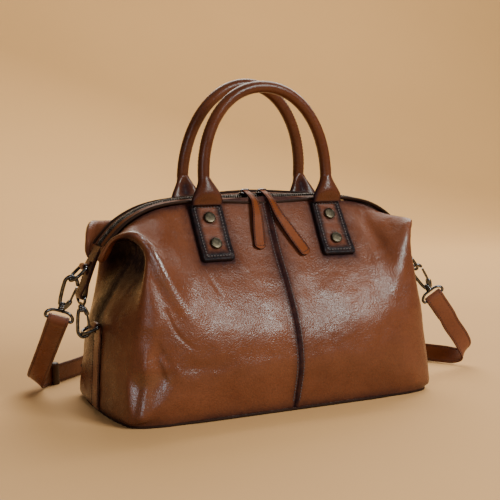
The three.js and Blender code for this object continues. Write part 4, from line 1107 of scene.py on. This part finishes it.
def handle_part(arch):
    """A handle, its burnish with painted shade in each flare's hollow, its middle line and the ways across
    it.
    """
    facing, radius = arch["facing"], HANDLE["radius"]
    turn = math.pi * (1 - np.linspace(0, 1, 121))
    reach = 2 / arch["power"]
    up = np.sin(turn).clip(0) ** reach
    cosine = np.cos(turn)
    x = arch["shift"] + arch["span"] * np.sign(cosine) * np.abs(cosine) ** reach + arch["lean"] * up
    line = np.stack([x, lerp(arch["neck_y"], arch["top_y"], up), HANDLE["neck"] + arch["rise"] * up], -1)
    line = even_line(line, 2.6)
    feet = []
    share = np.linspace(0, 1, 25)[:-1]
    t = share[:, None]
    for side in (-1, 1):
        point, normal = single(body_at(side * TAB["x"], TAB["top"], facing))
        start = point + normal * (TAB["lift"] + TAB["thick"])
        start = start + (0, facing * FLARE["thick"], 2 * GAP)
        neck = np.array([arch["shift"] + side * arch["span"], arch["neck_y"], HANDLE["neck"]])
        feet.append(bend(start, start + Z_AXIS * FLARE["rise"], neck, t))
    centres = np.concatenate([feet[0], line, feet[1][::-1]])
    blend = np.concatenate([share, np.ones(len(line)), share[::-1]])
    sides = 40
    angle = (np.arange(sides) + 0.5) / sides * 2 * math.pi
    sections, burn_and_shade_rings = [], []
    for b in blend:
        narrow, full = ease(0.15, 1.12, b) / ease(0.15, 1.12, 1), ease(0, 0.5, b)
        half, thick = lerp(FLARE["half"], radius, narrow), lerp(FLARE["thick"], radius, narrow)
        ring = power_ring(angle, half, thick, lerp(FLARE["power"], 2, full))
        outer = ring[:, 1] * facing > 0
        front = lerp(FLARE["thick"] + 0.6, radius + 1.2 * (1 - narrow), full) / thick
        ring[:, 1] *= np.where(outer, front, 1)
        lip = bell(np.abs(ring[:, 0]) - half, 2.4) * (1 - narrow) ** 0.5
        window = ease(0.08, 0.35, b) * ease(0, 0.35, 0.98 - b)
        hollow = window * bell(ring[:, 0], lerp(9, 3.5, b)) * (1 - outer)
        ring[:, 1] += facing * 1.2 * thick * hollow
        sections.append(ring)
        # Lips and the flare's foot are dark cut edges; the darkened hollow is painted shade
        burn_and_shade_rings.append(np.max([0.95 * lip, 0.9 * hollow, np.full(sides, 0.7 * bell(b, 0.04))], 0))
    along = tangents(centres)
    across = np.cross(Y_AXIS, along)
    return sweep(centres, across, np.array(sections)), np.concatenate(burn_and_shade_rings), centres, across


for face, arch in ARCHES.items():
    part, burn_and_shade, centres, across = handle_part(arch)
    add_piece(f"roll_handle_{face}", part, handle_leather, [f"handle_{face}"], burnish_and_shade=burn_and_shade)
    middle = slice(28, -28)
    ways = unit(0.6 * Y_AXIS * -arch["facing"] - 0.8 * unit(across)[middle])
    line = centres[middle] + ways * (HANDLE["radius"] - 0.1)
    stitch_lines[f"roll_handle_{face}"] = [(line, ways, *STITCH["handle"])]


# Zip sliders and their leather pulls
def add_metal(name, part, node, body="root"):
    """A piece of dark plated metal."""
    add_piece(name, part, gunmetal, [node], body=body)


def slider_part():
    """A zip slider's plate and the bridge over it."""
    length, width, height = SLIDER["length"], SLIDER["width"], SLIDER["height"]
    rings = []
    for z, inset in ((0, 0.6), (0.4, 0.1), (1.0, 0), (1.6, 0), (1.9, 0.25), (height, 0.9)):
        end, side = length / 2 - inset, width / 2 - inset
        corners = [(-end, -side), (end, -side + 1.2), (end, side - 1.2), (-end, side)]
        ring = rounded(corners, 2.2, 4)
        rings.append(np.c_[ring, np.full(len(ring), z)])
    reach = length / 2 - SLIDER["post"] / 2
    top = height + SLIDER["clear"] + SLIDER["bridge"] / 2
    low, knee = height - 0.5, height + 1.6
    path = np.array([(-reach, 0, low), (-reach, 0, knee), (-reach + 1.3, 0, top - 0.35), (0, 0, top),
                     (reach - 1.3, 0, top - 0.35), (reach, 0, knee), (reach, 0, low)], float)
    line = even_line(slack_spline(path, np.linspace(0, 6, 60)), 0.7)
    arch = sweep(line, Y_AXIS, bar_outline(SLIDER["post"] / 2, SLIDER["bridge"] / 2 - 0.2, 0.5, 3))
    return join([tube(rings), arch])


def pull_line(slider_x, end):
    """A pull's way from under the bridge, over the edge and down the front."""
    rise = GAP + SLIDER["height"] + SLIDER["clear"] / 2
    half = SLIDER["width"] / 2
    points = [on_band(slider_x, y, up)[0] for y, up in (
        (half - 2.5, rise), (-half, rise), (-PIPING["y"] + 3, 2.4), (-PIPING["y"] - 3.5, 0.2))]
    for t in (0.15, 0.35, 0.6, 0.8, 1):
        x, z = lerp(slider_x, end[0], t), lerp(PULL["top"], end[1], t)
        point, normal = single(body_at(x, z, -1))
        points.append(point + normal * lerp(5, 2.4, t))
    return slack_spline(np.array(points), np.linspace(0, len(points) - 1, 400))


def pull_width(share, run):
    """Half the pull's width at lengths along it: a neck under the slider, then full, then a rounded end."""
    left = run[-1] - run
    half = lerp(PULL["neck"] / 2, PULL["width"] / 2, ease(0.1, 0.8, share))
    end = PULL["width"] / 2
    round_off = np.sqrt(np.maximum(1 - (1 - np.minimum(left / (0.75 * end), 1)) ** 2.4, 0.02))
    return half * round_off


for end_name, slider_x, end in PULLS:
    seat = on_band(slider_x, 0, GAP)[0]
    part = slider_part()
    add_metal(f"runner_{end_name}", (part[0] + seat, part[1]), f"zip_slider_{end_name}")
    line = even_line(pull_line(slider_x, end), 0.8)
    run = lengths(line)
    half = pull_width(run / run[-1], run)
    outline = bar_outline(PULL["width"] / 2, PULL["thick"] / 2, 0.8, 3, 5)
    sections = np.stack([outline * (h / (PULL["width"] / 2), 1) for h in half])
    burn_and_shade = np.tile(0.97 * bell(np.abs(outline[:, 0]) - PULL["width"] / 2, 1.0), len(line))
    add_piece(f"pull_tab_{end_name}", sweep(line, X_AXIS, sections), pull_leather,
              [f"zip_pull_{end_name}"], burnish_and_shade=burn_and_shade)
    _, side, out = frames_along(line, X_AXIS)
    out *= -np.sign(out[-1, 1])
    keep = (run > 12) & (run < run[-1] - 3)
    face = line + out * (PULL["thick"] / 2 - 0.05)
    reach = side * np.maximum(half - 1.7, 0)[:, None]
    loop = np.concatenate([(face - reach)[keep], (face + reach)[keep][::-1]])
    ways = np.concatenate([out[keep], out[keep][::-1]])
    stitch_lines[f"pull_tab_{end_name}"] = [(loop, ways, *STITCH["pull"])]


# Wire hardware
def d_ring(depth):
    """A ring of round wire with a straight bar at its top, and a bow that hangs to a depth."""
    half = RING["half"]
    angle = np.linspace(0, math.pi, 29)
    bow = np.stack([half * np.cos(angle), 0 * angle, half - depth - half * np.sin(angle)], -1)
    corner = 2.2
    turn = np.linspace(0, math.pi / 2, 6)
    left = np.stack([-half + corner - corner * np.cos(turn), 0 * turn, -corner + corner * np.sin(turn)], -1)
    line = even_loop(np.concatenate([bow, left, left[::-1] * (-1, 1, 1)]), 0.9)
    return sweep(line, Y_AXIS, circle(RING["wire"], 12), closed=True)


def hook_part():
    """A bent wire hook on a coiled barrel, with the two cheeks and the pin that carry its gate."""
    line = even_line(slack_spline(HOOK_PATH, np.linspace(0, len(HOOK_PATH) - 1, 160)), 0.7)
    tip = (lengths(line) / lengths(line)[-1] - 0.94) / 0.065
    thick = HOOK["wire"] * np.where(tip > 0, np.sqrt(np.maximum(1 - tip ** 2, 0.1)), 1)
    coil = [(HOOK["bore"], -2.9)]
    for k in range(3):
        for t in np.linspace(0, math.pi, 7):
            coil.append((HOOK["barrel"] - 0.75 + 0.75 * math.sin(t), -3 + 2 * k + 1 - math.cos(t)))
    coil.append((HOOK["bore"], 2.9))
    parts = [sweep(line, Y_AXIS, circle(1, 14) * thick[:, None, None]), ring_lathe(coil)]
    outer = GATE["width"] / 2 + GAP + CHEEK
    head = [(GATE["pin"], outer), (1.5, outer + 0.1), (1.2, outer + 0.45), (0, outer + 0.5)]
    pin = [(radius, -height) for radius, height in head[::-1]] + head
    parts.append(placed(lathe(pin, 16), np.array(GATE["pivot"]), X_AXIS, Y_AXIS))
    plan = rounded(CHEEK_PLAN, 1.3, 4)
    rim, face = CHEEK / 2, CHEEK / 2 - 0.3
    for side in (-1, 1):
        middle = side * (outer - CHEEK / 2)
        rings = []
        for grow, height in ((0.9, -rim), (1, -face), (1, face), (0.9, rim)):
            rings.append(upright(lerp(plan.mean(0), plan, grow), middle + height))
        parts.append(tube(rings))
    return join(parts)


def gate_part():
    """The gate about its own pivot, with its bar a little fuller in the middle."""
    tip = np.array(GATE["tip"]) - np.array(GATE["pivot"])
    along = unit(tip)
    line = along * np.linspace(1.6, np.linalg.norm(tip), 22)[:, None]
    share = np.linspace(0, 1, 22)
    sections = np.stack([bar_outline(GATE["width"] / 2 * f, GATE["bar"] / 2 * f, 0.75, 3)
                         for f in 0.82 + 0.18 * np.sin(math.pi * share ** 0.8)])
    half = GATE["width"] / 2
    eye = ring_lathe(box_outline(GATE["bore"], GATE["eye"], -half, half, 0.3, 2))
    return join([sweep(line, Y_AXIS, sections), placed(eye, np.zeros(3), X_AXIS, Y_AXIS)])


def eye_part():
    """The loop behind a hook, and the stem that turns in the hook's barrel."""
    half, bar, shoulder = EYE["half"], EYE["bar"], EYE["shoulder"]
    corners = [(0, -shoulder), (0.6 * half, -shoulder), (half, -shoulder - 4), (half, -bar), (0, -bar),
               (-half, -bar), (-half, -shoulder - 4), (-0.6 * half, -shoulder)]
    line = even_loop(upright(rounded(corners, 4.0, 6), 0), 0.9)
    loop = sweep(line, Y_AXIS, circle(EYE["wire"], 12), closed=True)
    top = HOOK["half"] + GAP
    stem = lathe([(0, -shoulder - 0.4), (2.2, -shoulder - 0.2), (2.3, -shoulder + 0.6),
                  (EYE["pin"], -shoulder + 1.3), (EYE["pin"], top), (EYE["head"], top),
                  (EYE["head"], top + 0.5), (1.4, top + 1.1), (0, top + 1.2)], 18)
    return join([loop, stem])


upper_ring_shape, lower_ring_shape = d_ring(RING["upper"]), d_ring(RING["lower"])
hook_shape, gate_shape, eye_shape = hook_part(), gate_part(), eye_part()


def add_hook(name, end_name, swivel, across, eye_across, nose, scale):
    """A hook, its gate and its eye at a swivel. nose is the way to the hook's bend."""
    x_way = square_to(across, nose)
    hook = placed(scaled(hook_shape, scale), swivel, x_way, nose)
    add_metal(f"snap_{name}_{end_name}", hook, f"{name}_hook_{end_name}")
    pivot = swivel + scale * (x_way * GATE["pivot"][0] + nose * GATE["pivot"][2])
    gate = placed(scaled(gate_shape, scale), pivot, x_way, nose)
    node = f"{name}_hook_gate_{end_name}"
    add_metal(f"snap_{name}_lever_{end_name}", gate, node, body=node)
    eye = placed(scaled(eye_shape, scale), swivel, square_to(eye_across, nose), nose)
    add_metal(f"snap_{name}_bow_{end_name}", eye, f"{name}_hook_eye_{end_name}")


# Leather at the ends
def tail_rows(side, offset):
    """The zip's line on past its end, at an offset from the middle of the tail."""
    places = np.linspace(ridge_place(ZIP_END_X + 2 * GAP), ridge_place(TAIL["end_x"]), 24)
    return on_band(side * spline(RIDGE, places)[:, 0], 0, offset - TAIL["drop"])


def tail_bar(side):
    """The middle of the bar that a tail goes round, and the ways up and along there."""
    point, up, along = single(ridge_frame(side * TAIL["end_x"]))
    return point - up * TAIL["drop"] + along * (TAIL["loop"] - TAIL["bite"]), up, along


DIAGONAL = 0.7071


def folded(first, bar, up, along, radius, last):
    """A line that comes in along first, goes round a bar from its upper side, and goes back along last."""
    turn = [bar + up * radius, bar + (up + along) * radius * DIAGONAL, bar + along * radius,
            bar + (along - up) * radius * DIAGONAL, bar - up * radius]
    rows = np.concatenate([first, turn, last])
    return even_line(slack_spline(rows, np.linspace(0, len(rows) - 1, 12 * len(rows))), 1.2)


def strip_piece(name, line, half, thick, node, leather_kind=strap_leather):
    """A flat leather strip along a line, with burnished edges."""
    outline = bar_outline(1, thick / 2, min(0.45 * thick, 0.9), 3, 5)
    half = np.broadcast_to(half, len(line))
    sections = np.stack([outline * (h, 1) for h in half])
    burn_and_shade = 0.9 * bell(half[:, None] - np.abs(sections[..., 0]), 1.3)
    add_piece(name, sweep(line, Y_AXIS, sections), leather_kind, [node], burnish_and_shade=burn_and_shade.ravel())


def edge_lines(line, half, thick, outer_way, keep):
    """Lines of stitches along both edges of a strip, on the side that faces outer_way."""
    _, side, out = frames_along(line, Y_AXIS)
    out = out * np.sign(out[2] @ outer_way)
    face = line + out * (thick / 2 - 0.05)
    reach = side * (half - 2.0)[:, None]
    return [((face + sign * reach)[keep], out[keep], *STITCH["strip"]) for sign in (-1, 1)]


def lower_seat(end):
    """Where the lower ring sits in the bend of a tail's hook."""
    return tail_bar(end["side"])[0] + unit(end["tail"]) * (EYE["bar"] + RING_SEAT) * TAIL_HOOK_SCALE


def lower_bar(end):
    """The middle of the lower ring's straight bar."""
    seat = lower_seat(end)
    rise = math.sqrt(RING["lower"] ** 2 - (abs(seat[0]) - STRIP["ring_x"]) ** 2)
    return np.array([end["side"] * STRIP["ring_x"], 0, seat[2] + rise])


def upper_bar(end):
    """The middle of the upper ring's straight bar."""
    out = TAIL["thick"] / 2 - TAIL["drop"] + GAP + RING_LOOP["loop"]
    return on_band(end["side"] * end["ring_x"], 0, out)[0]


# How far the middle of folded leather is from a bar's hole, a tail's ply, and how far the two plies of a tail
# are from its middle
LOOP_CLEAR = 0.95
TAIL_PLY = 1.62
TAIL_PLY_OFFSET = 0.86


def add_tail(end):
    """The leather tail that carries the zip on past its end and folds back round a hook's bar."""
    side, name = end["side"], end["name"]
    bar, up, along = tail_bar(side)
    first, last = [tail_rows(side, sign * TAIL_PLY_OFFSET)[:-3] for sign in (1, -1)]
    line = folded(first, bar, up, along, TAIL["hole"] + LOOP_CLEAR, last[::-1])
    run = lengths(line)
    from_ends = np.minimum(run, run[-1] - run)
    half = lerp(TAIL["top"], TAIL["end"], from_ends / from_ends.max())
    strip_piece(f"tail_leather_{name}", line, half, TAIL_PLY, f"zip_tail_{name}", tail_leather)
    keep = (np.arange(len(line)) > 1) & (run < 0.4 * run[-1])
    stitch_lines[f"tail_leather_{name}"] = edge_lines(line, half, TAIL_PLY, up, keep)


def add_strip(end):
    """The leather strip up the middle of an end, folded over the lower ring's bar."""
    side, name = end["side"], end["name"]
    stations = np.linspace(0.35, 1.95, 20)
    points = surface("front_right", LAST_SECTION, stations)
    lift = STRIP["lift"] + STRIP["thick"] / 2
    first = np.stack([side * (points[:, 0] + lift), 0 * stations, points[:, 2]], -1)
    bar = lower_bar(end)
    radius = STRIP["hole"] + LOOP_CLEAR
    flap_x = bar[0] + side * radius * 0.9
    flap = np.array([(flap_x, 0, bar[2] - 3), (flap_x - side * 0.35 / 6, 0, bar[2] - 5)])
    rows = first[first[:, 2] < bar[2] - 4]
    line = folded(rows, bar, -side * X_AXIS, Z_AXIS, radius, flap)
    half = lerp(STRIP["half"], STRIP["loop_half"], ease(bar[2] - 14, bar[2] - 5, line[:, 2]))
    strip_piece(f"end_band_{name}", line, half, STRIP["ply"], f"end_strip_{name}")
    run = lengths(line)
    keep = (run > 2) & (run < lengths(rows)[-1] - 8)
    stitch_lines[f"end_band_{name}"] = edge_lines(line, half, STRIP["ply"], side * X_AXIS, keep)


def add_ring_loop(end):
    """The small leather loop that holds the upper ring on a tail."""
    name = end["name"]
    point, up, along = single(ridge_frame(end["side"] * end["ring_x"]))
    bar = upper_bar(end)
    base = point + up * (TAIL["thick"] / 2 - TAIL["drop"] + 2 * GAP + RING_LOOP["thick"] / 2)
    radius = RING_LOOP["hole"] + RING_LOOP["thick"] / 2
    rows = [base - along * 6.4, base - along * 4.6, base - along * 3.2 + up * 0.5]
    for turn in np.linspace(-0.85, math.pi + 0.85, 11):
        rows.append(bar - along * radius * math.cos(turn) + up * radius * math.sin(turn))
    rows += [base + along * 3.2 + up * 0.5, base + along * 4.6, base + along * 6.4]
    line = even_line(slack_spline(np.array(rows), np.linspace(0, len(rows) - 1, 200)), 0.8)
    strip_piece(f"loop_leather_{name}", line, RING_LOOP["half"], RING_LOOP["thick"], f"ring_loop_{name}")


strap_bars = []
for end in ENDS:
    name = end["name"]
    add_tail(end)
    add_strip(end)
    add_ring_loop(end)
    ring_down = unit(end["ring"])
    ring = placed(upper_ring_shape, upper_bar(end), Y_AXIS, -ring_down)
    add_metal(f"wire_ring_upper_{name}", ring, f"upper_ring_{name}")
    nose = unit(end["hook"])
    eye_across = square_to(end["eye"], nose)
    swivel = upper_bar(end) + ring_down * RING["upper"] - nose * RING_SEAT
    add_hook("strap", name, swivel, end["across"], eye_across, nose, 1)
    tail_nose = unit(end["tail"])
    tail_swivel = tail_bar(end["side"])[0] + tail_nose * EYE["bar"] * TAIL_HOOK_SCALE
    add_hook("tail", name, tail_swivel, end["tail_across"], Y_AXIS, tail_nose, TAIL_HOOK_SCALE)
    bar = lower_bar(end)
    ring = placed(lower_ring_shape, bar, Y_AXIS, bar - lower_seat(end))
    add_metal(f"wire_ring_lower_{name}", ring, f"lower_ring_{name}")
    strap_bars.append((swivel - nose * EYE["bar"], eye_across))


# Strap: a flap folded over each hook's bar, then the way round
def strap_end(bar, across, first):
    """Points of the strap's flap, its fold over a hook's bar and the way on."""
    down = square_to(unit(np.array(first, float) - bar), across)
    front = np.cross(down, across)
    front = front if front[1] < 0 else -front
    flap, wrap, close, meet, apart = [STRAP[key] for key in ("flap", "wrap", "close", "meet", "apart")]
    rows = [(flap, -apart / 2), (meet, -wrap * close), (0, -wrap), (-wrap, 0), (0, wrap),
            (meet, wrap * close), (flap, apart / 2)]
    return [bar + down * below + front * sideways for below, sideways in rows]


start_rows = strap_end(*strap_bars[0], STRAP_ROUTE[0][0])
end_rows = strap_end(*strap_bars[1], STRAP_ROUTE[-1][0])[::-1]
strap_points = np.array(start_rows + [row[0] for row in STRAP_ROUTE] + end_rows, float)
strap_across = np.concatenate([
    np.tile(strap_bars[0][1], (len(start_rows), 1)), unit([row[1] for row in STRAP_ROUTE]),
    np.tile(-strap_bars[1][1], (len(end_rows), 1)),
])
places = np.linspace(0, len(strap_points) - 1, 3000)
strap_curve = slack_spline(strap_points, places)
i = np.clip(np.floor(places).astype(int), 0, len(strap_points) - 2)
strap_sides = unit(lerp(strap_across[i], strap_across[i + 1], (places - i)[:, None]))
strap_run = lengths(strap_curve)
wanted = np.linspace(0, strap_run[-1], int(strap_run[-1] / STRAP["step"]))
strap_line = at_length(strap_curve, strap_curve, wanted)
strap_side = unit(at_length(strap_curve, strap_sides, wanted))
strap_outline = bar_outline(STRAP["width"] / 2, STRAP["thick"] / 2, 1.0, 3, 9)
inset = STRAP["width"] / 2 - np.abs(strap_outline[:, 0])
strap_outline[:, 1] -= np.sign(strap_outline[:, 1]) * 0.3 * bell(inset - STRAP["groove"], 0.8)
strap_burn = np.tile(0.6 * bell(inset, 0.9), len(strap_line))
add_piece("strap_leather_loop", sweep(strap_line, strap_side, strap_outline), strap_leather,
          ["strap"], burnish_and_shade=strap_burn)
strap_along, strap_side, strap_out = frames_along(strap_line, strap_side)
strap_rows = []
for sign in (-1, 1):
    row = strap_line + strap_side * sign * (STRAP["width"] / 2 - STRAP["sewn"])
    for out in (-strap_out, strap_out):
        strap_rows.append((row + out * (STRAP["thick"] / 2 - 0.12), out, *STITCH["strap"]))
stitch_lines["strap_leather_loop"] = strap_rows


def strap_at(place):
    """The strap's middle and its ways along, across and out at a place."""
    run = np.interp(place, places, strap_run)
    k = int(np.argmin(np.abs(wanted - run)))
    return strap_line[k], strap_along[k], strap_side[k], strap_out[k]


def keeper_part():
    """The leather band round the strap."""
    at, along, side, out = strap_at(len(start_rows) + KEEPER["row"])
    half = STRAP["width"] / 2 + KEEPER["clear"] + KEEPER["wall"] / 2
    thick = STRAP["thick"] / 2 + KEEPER["clear"] + KEEPER["wall"] / 2
    outline = box_outline(-half, half, -thick, thick, 2.0, 5)
    line = even_loop(at + side * outline[:, :1] + out * outline[:, 1:], 0.9)
    section = power_ring(np.arange(24) / 24 * 2 * math.pi, KEEPER["length"] / 2, KEEPER["wall"] / 2, 2.2)
    return sweep(line, along, section, closed=True)


add_piece("keeper_band", keeper_part(), keeper_leather, ["strap_keeper"])


def strap_hole_shade_discs():
    """Dark discs of painted shade on both sides of the strap, standing for its holes."""
    first = len(start_rows) + STRAP_HOLES["row"]
    gap = np.linalg.norm(strap_points[first + 1] - strap_points[first])
    radius, half = STRAP_HOLES["radius"], STRAP["thick"] / 2
    disc = lathe([(0, -half - 0.08), (radius, -half - 0.06), (radius, half + 0.06), (0, half + 0.08)], 20)
    discs = []
    for k in range(STRAP_HOLES["count"]):
        at, along, _, out = strap_at(first + k * STRAP_HOLES["pitch"] / gap)
        discs.append(placed(disc, at, along, out))
    return join(discs)


add_piece("strap_hole_shade_discs", strap_hole_shade_discs(), painted_hole_shade)

# Thread
DARK_THREADS = ("tab", "body")
for name, lines in stitch_lines.items():
    kind = dark_thread if name.startswith(DARK_THREADS) else thread
    add_piece(f"thread_{name}", stitches(lines), kind)

# Studio
FLOOR = {"half": 6, "back": 1.2, "bend": 1.4, "top": 5}
floor_line = [(-FLOOR["half"], 0)]
for turn in np.linspace(0, math.pi / 2, 14):
    floor_line.append((FLOOR["back"] + FLOOR["bend"] * math.sin(turn),
                       FLOOR["bend"] * (1 - math.cos(turn))))
floor_line.append((FLOOR["back"] + FLOOR["bend"], FLOOR["top"]))
floor_mesh = bpy.data.meshes.new("studio_floor")
floor_points = [(x, y, z) for y, z in floor_line for x in (-FLOOR["half"], FLOOR["half"])]
floor_faces = [(2 * k, 2 * k + 1, 2 * k + 3, 2 * k + 2) for k in range(len(floor_line) - 1)]
floor_mesh.from_pydata(floor_points, [], floor_faces)
floor_mesh.polygons.foreach_set("use_smooth", [True] * len(floor_mesh.polygons))
floor_mesh.materials.append(studio("studio_paper", (0.6, 0.355, 0.14), (0.58, 0.34, 0.133)))
floor = bpy.data.objects.new("studio_floor", floor_mesh)
bpy.context.collection.objects.link(floor)


def add_light(name, place, aim, size, power, tone):
    """A rectangular light at a place, turned to aim."""
    lamp = bpy.data.lights.new(name, "AREA")
    lamp.shape = "RECTANGLE"
    lamp.size, lamp.size_y = size
    lamp.energy = power
    lamp.color = tone
    rig = bpy.data.objects.new(name, lamp)
    rig.location = place
    rig.rotation_euler = (Vector(aim) - Vector(place)).to_track_quat("-Z", "Y").to_euler()
    bpy.context.collection.objects.link(rig)


add_light("key", (0.5, -1.1, 0.87), (0, 0, 0.12), (0.5, 0.38), 21.5, (1.0, 0.95, 0.88))
add_light("window", (-1.1, -1.0, 0.45), (0, 0, 0.12), (0.3, 0.3), 4, (0.92, 0.97, 1.04))
add_light("top", (0.85, 1.0, 1.5), (-0.2, -0.5, 0), (2.2, 1.5), 46, (1.0, 0.96, 0.9))
add_light("backdrop", (1.35, 0.75, 1.9), (1.35, 2.6, 0.6), (3.0, 0.8), 70, (1.0, 0.93, 0.78))
world = bpy.data.worlds.new("studio_air")
world.use_nodes = True
world.node_tree.nodes["Background"].inputs["Color"].default_value = (1.0, 0.93, 0.86, 1)
world.node_tree.nodes["Background"].inputs["Strength"].default_value = 0.11
bpy.context.scene.world = world

CAMERA = {"place": (-0.4569, -0.8802, 0.2514), "azimuth": -27.0, "elevation": 6.0, "lens": 70.56}
azimuth, elevation = math.radians(CAMERA["azimuth"]), math.radians(CAMERA["elevation"])
level = math.cos(elevation)
back = Vector((math.sin(azimuth) * level, -math.cos(azimuth) * level, math.sin(elevation)))
camera_data = bpy.data.cameras.new("camera")
camera_data.lens = CAMERA["lens"]
camera_data.sensor_width = 36
camera = bpy.data.objects.new("camera", camera_data)
camera.location = CAMERA["place"]
camera.rotation_euler = back.to_track_quat("Z", "Y").to_euler()
bpy.context.collection.objects.link(camera)
bpy.context.scene.camera = camera
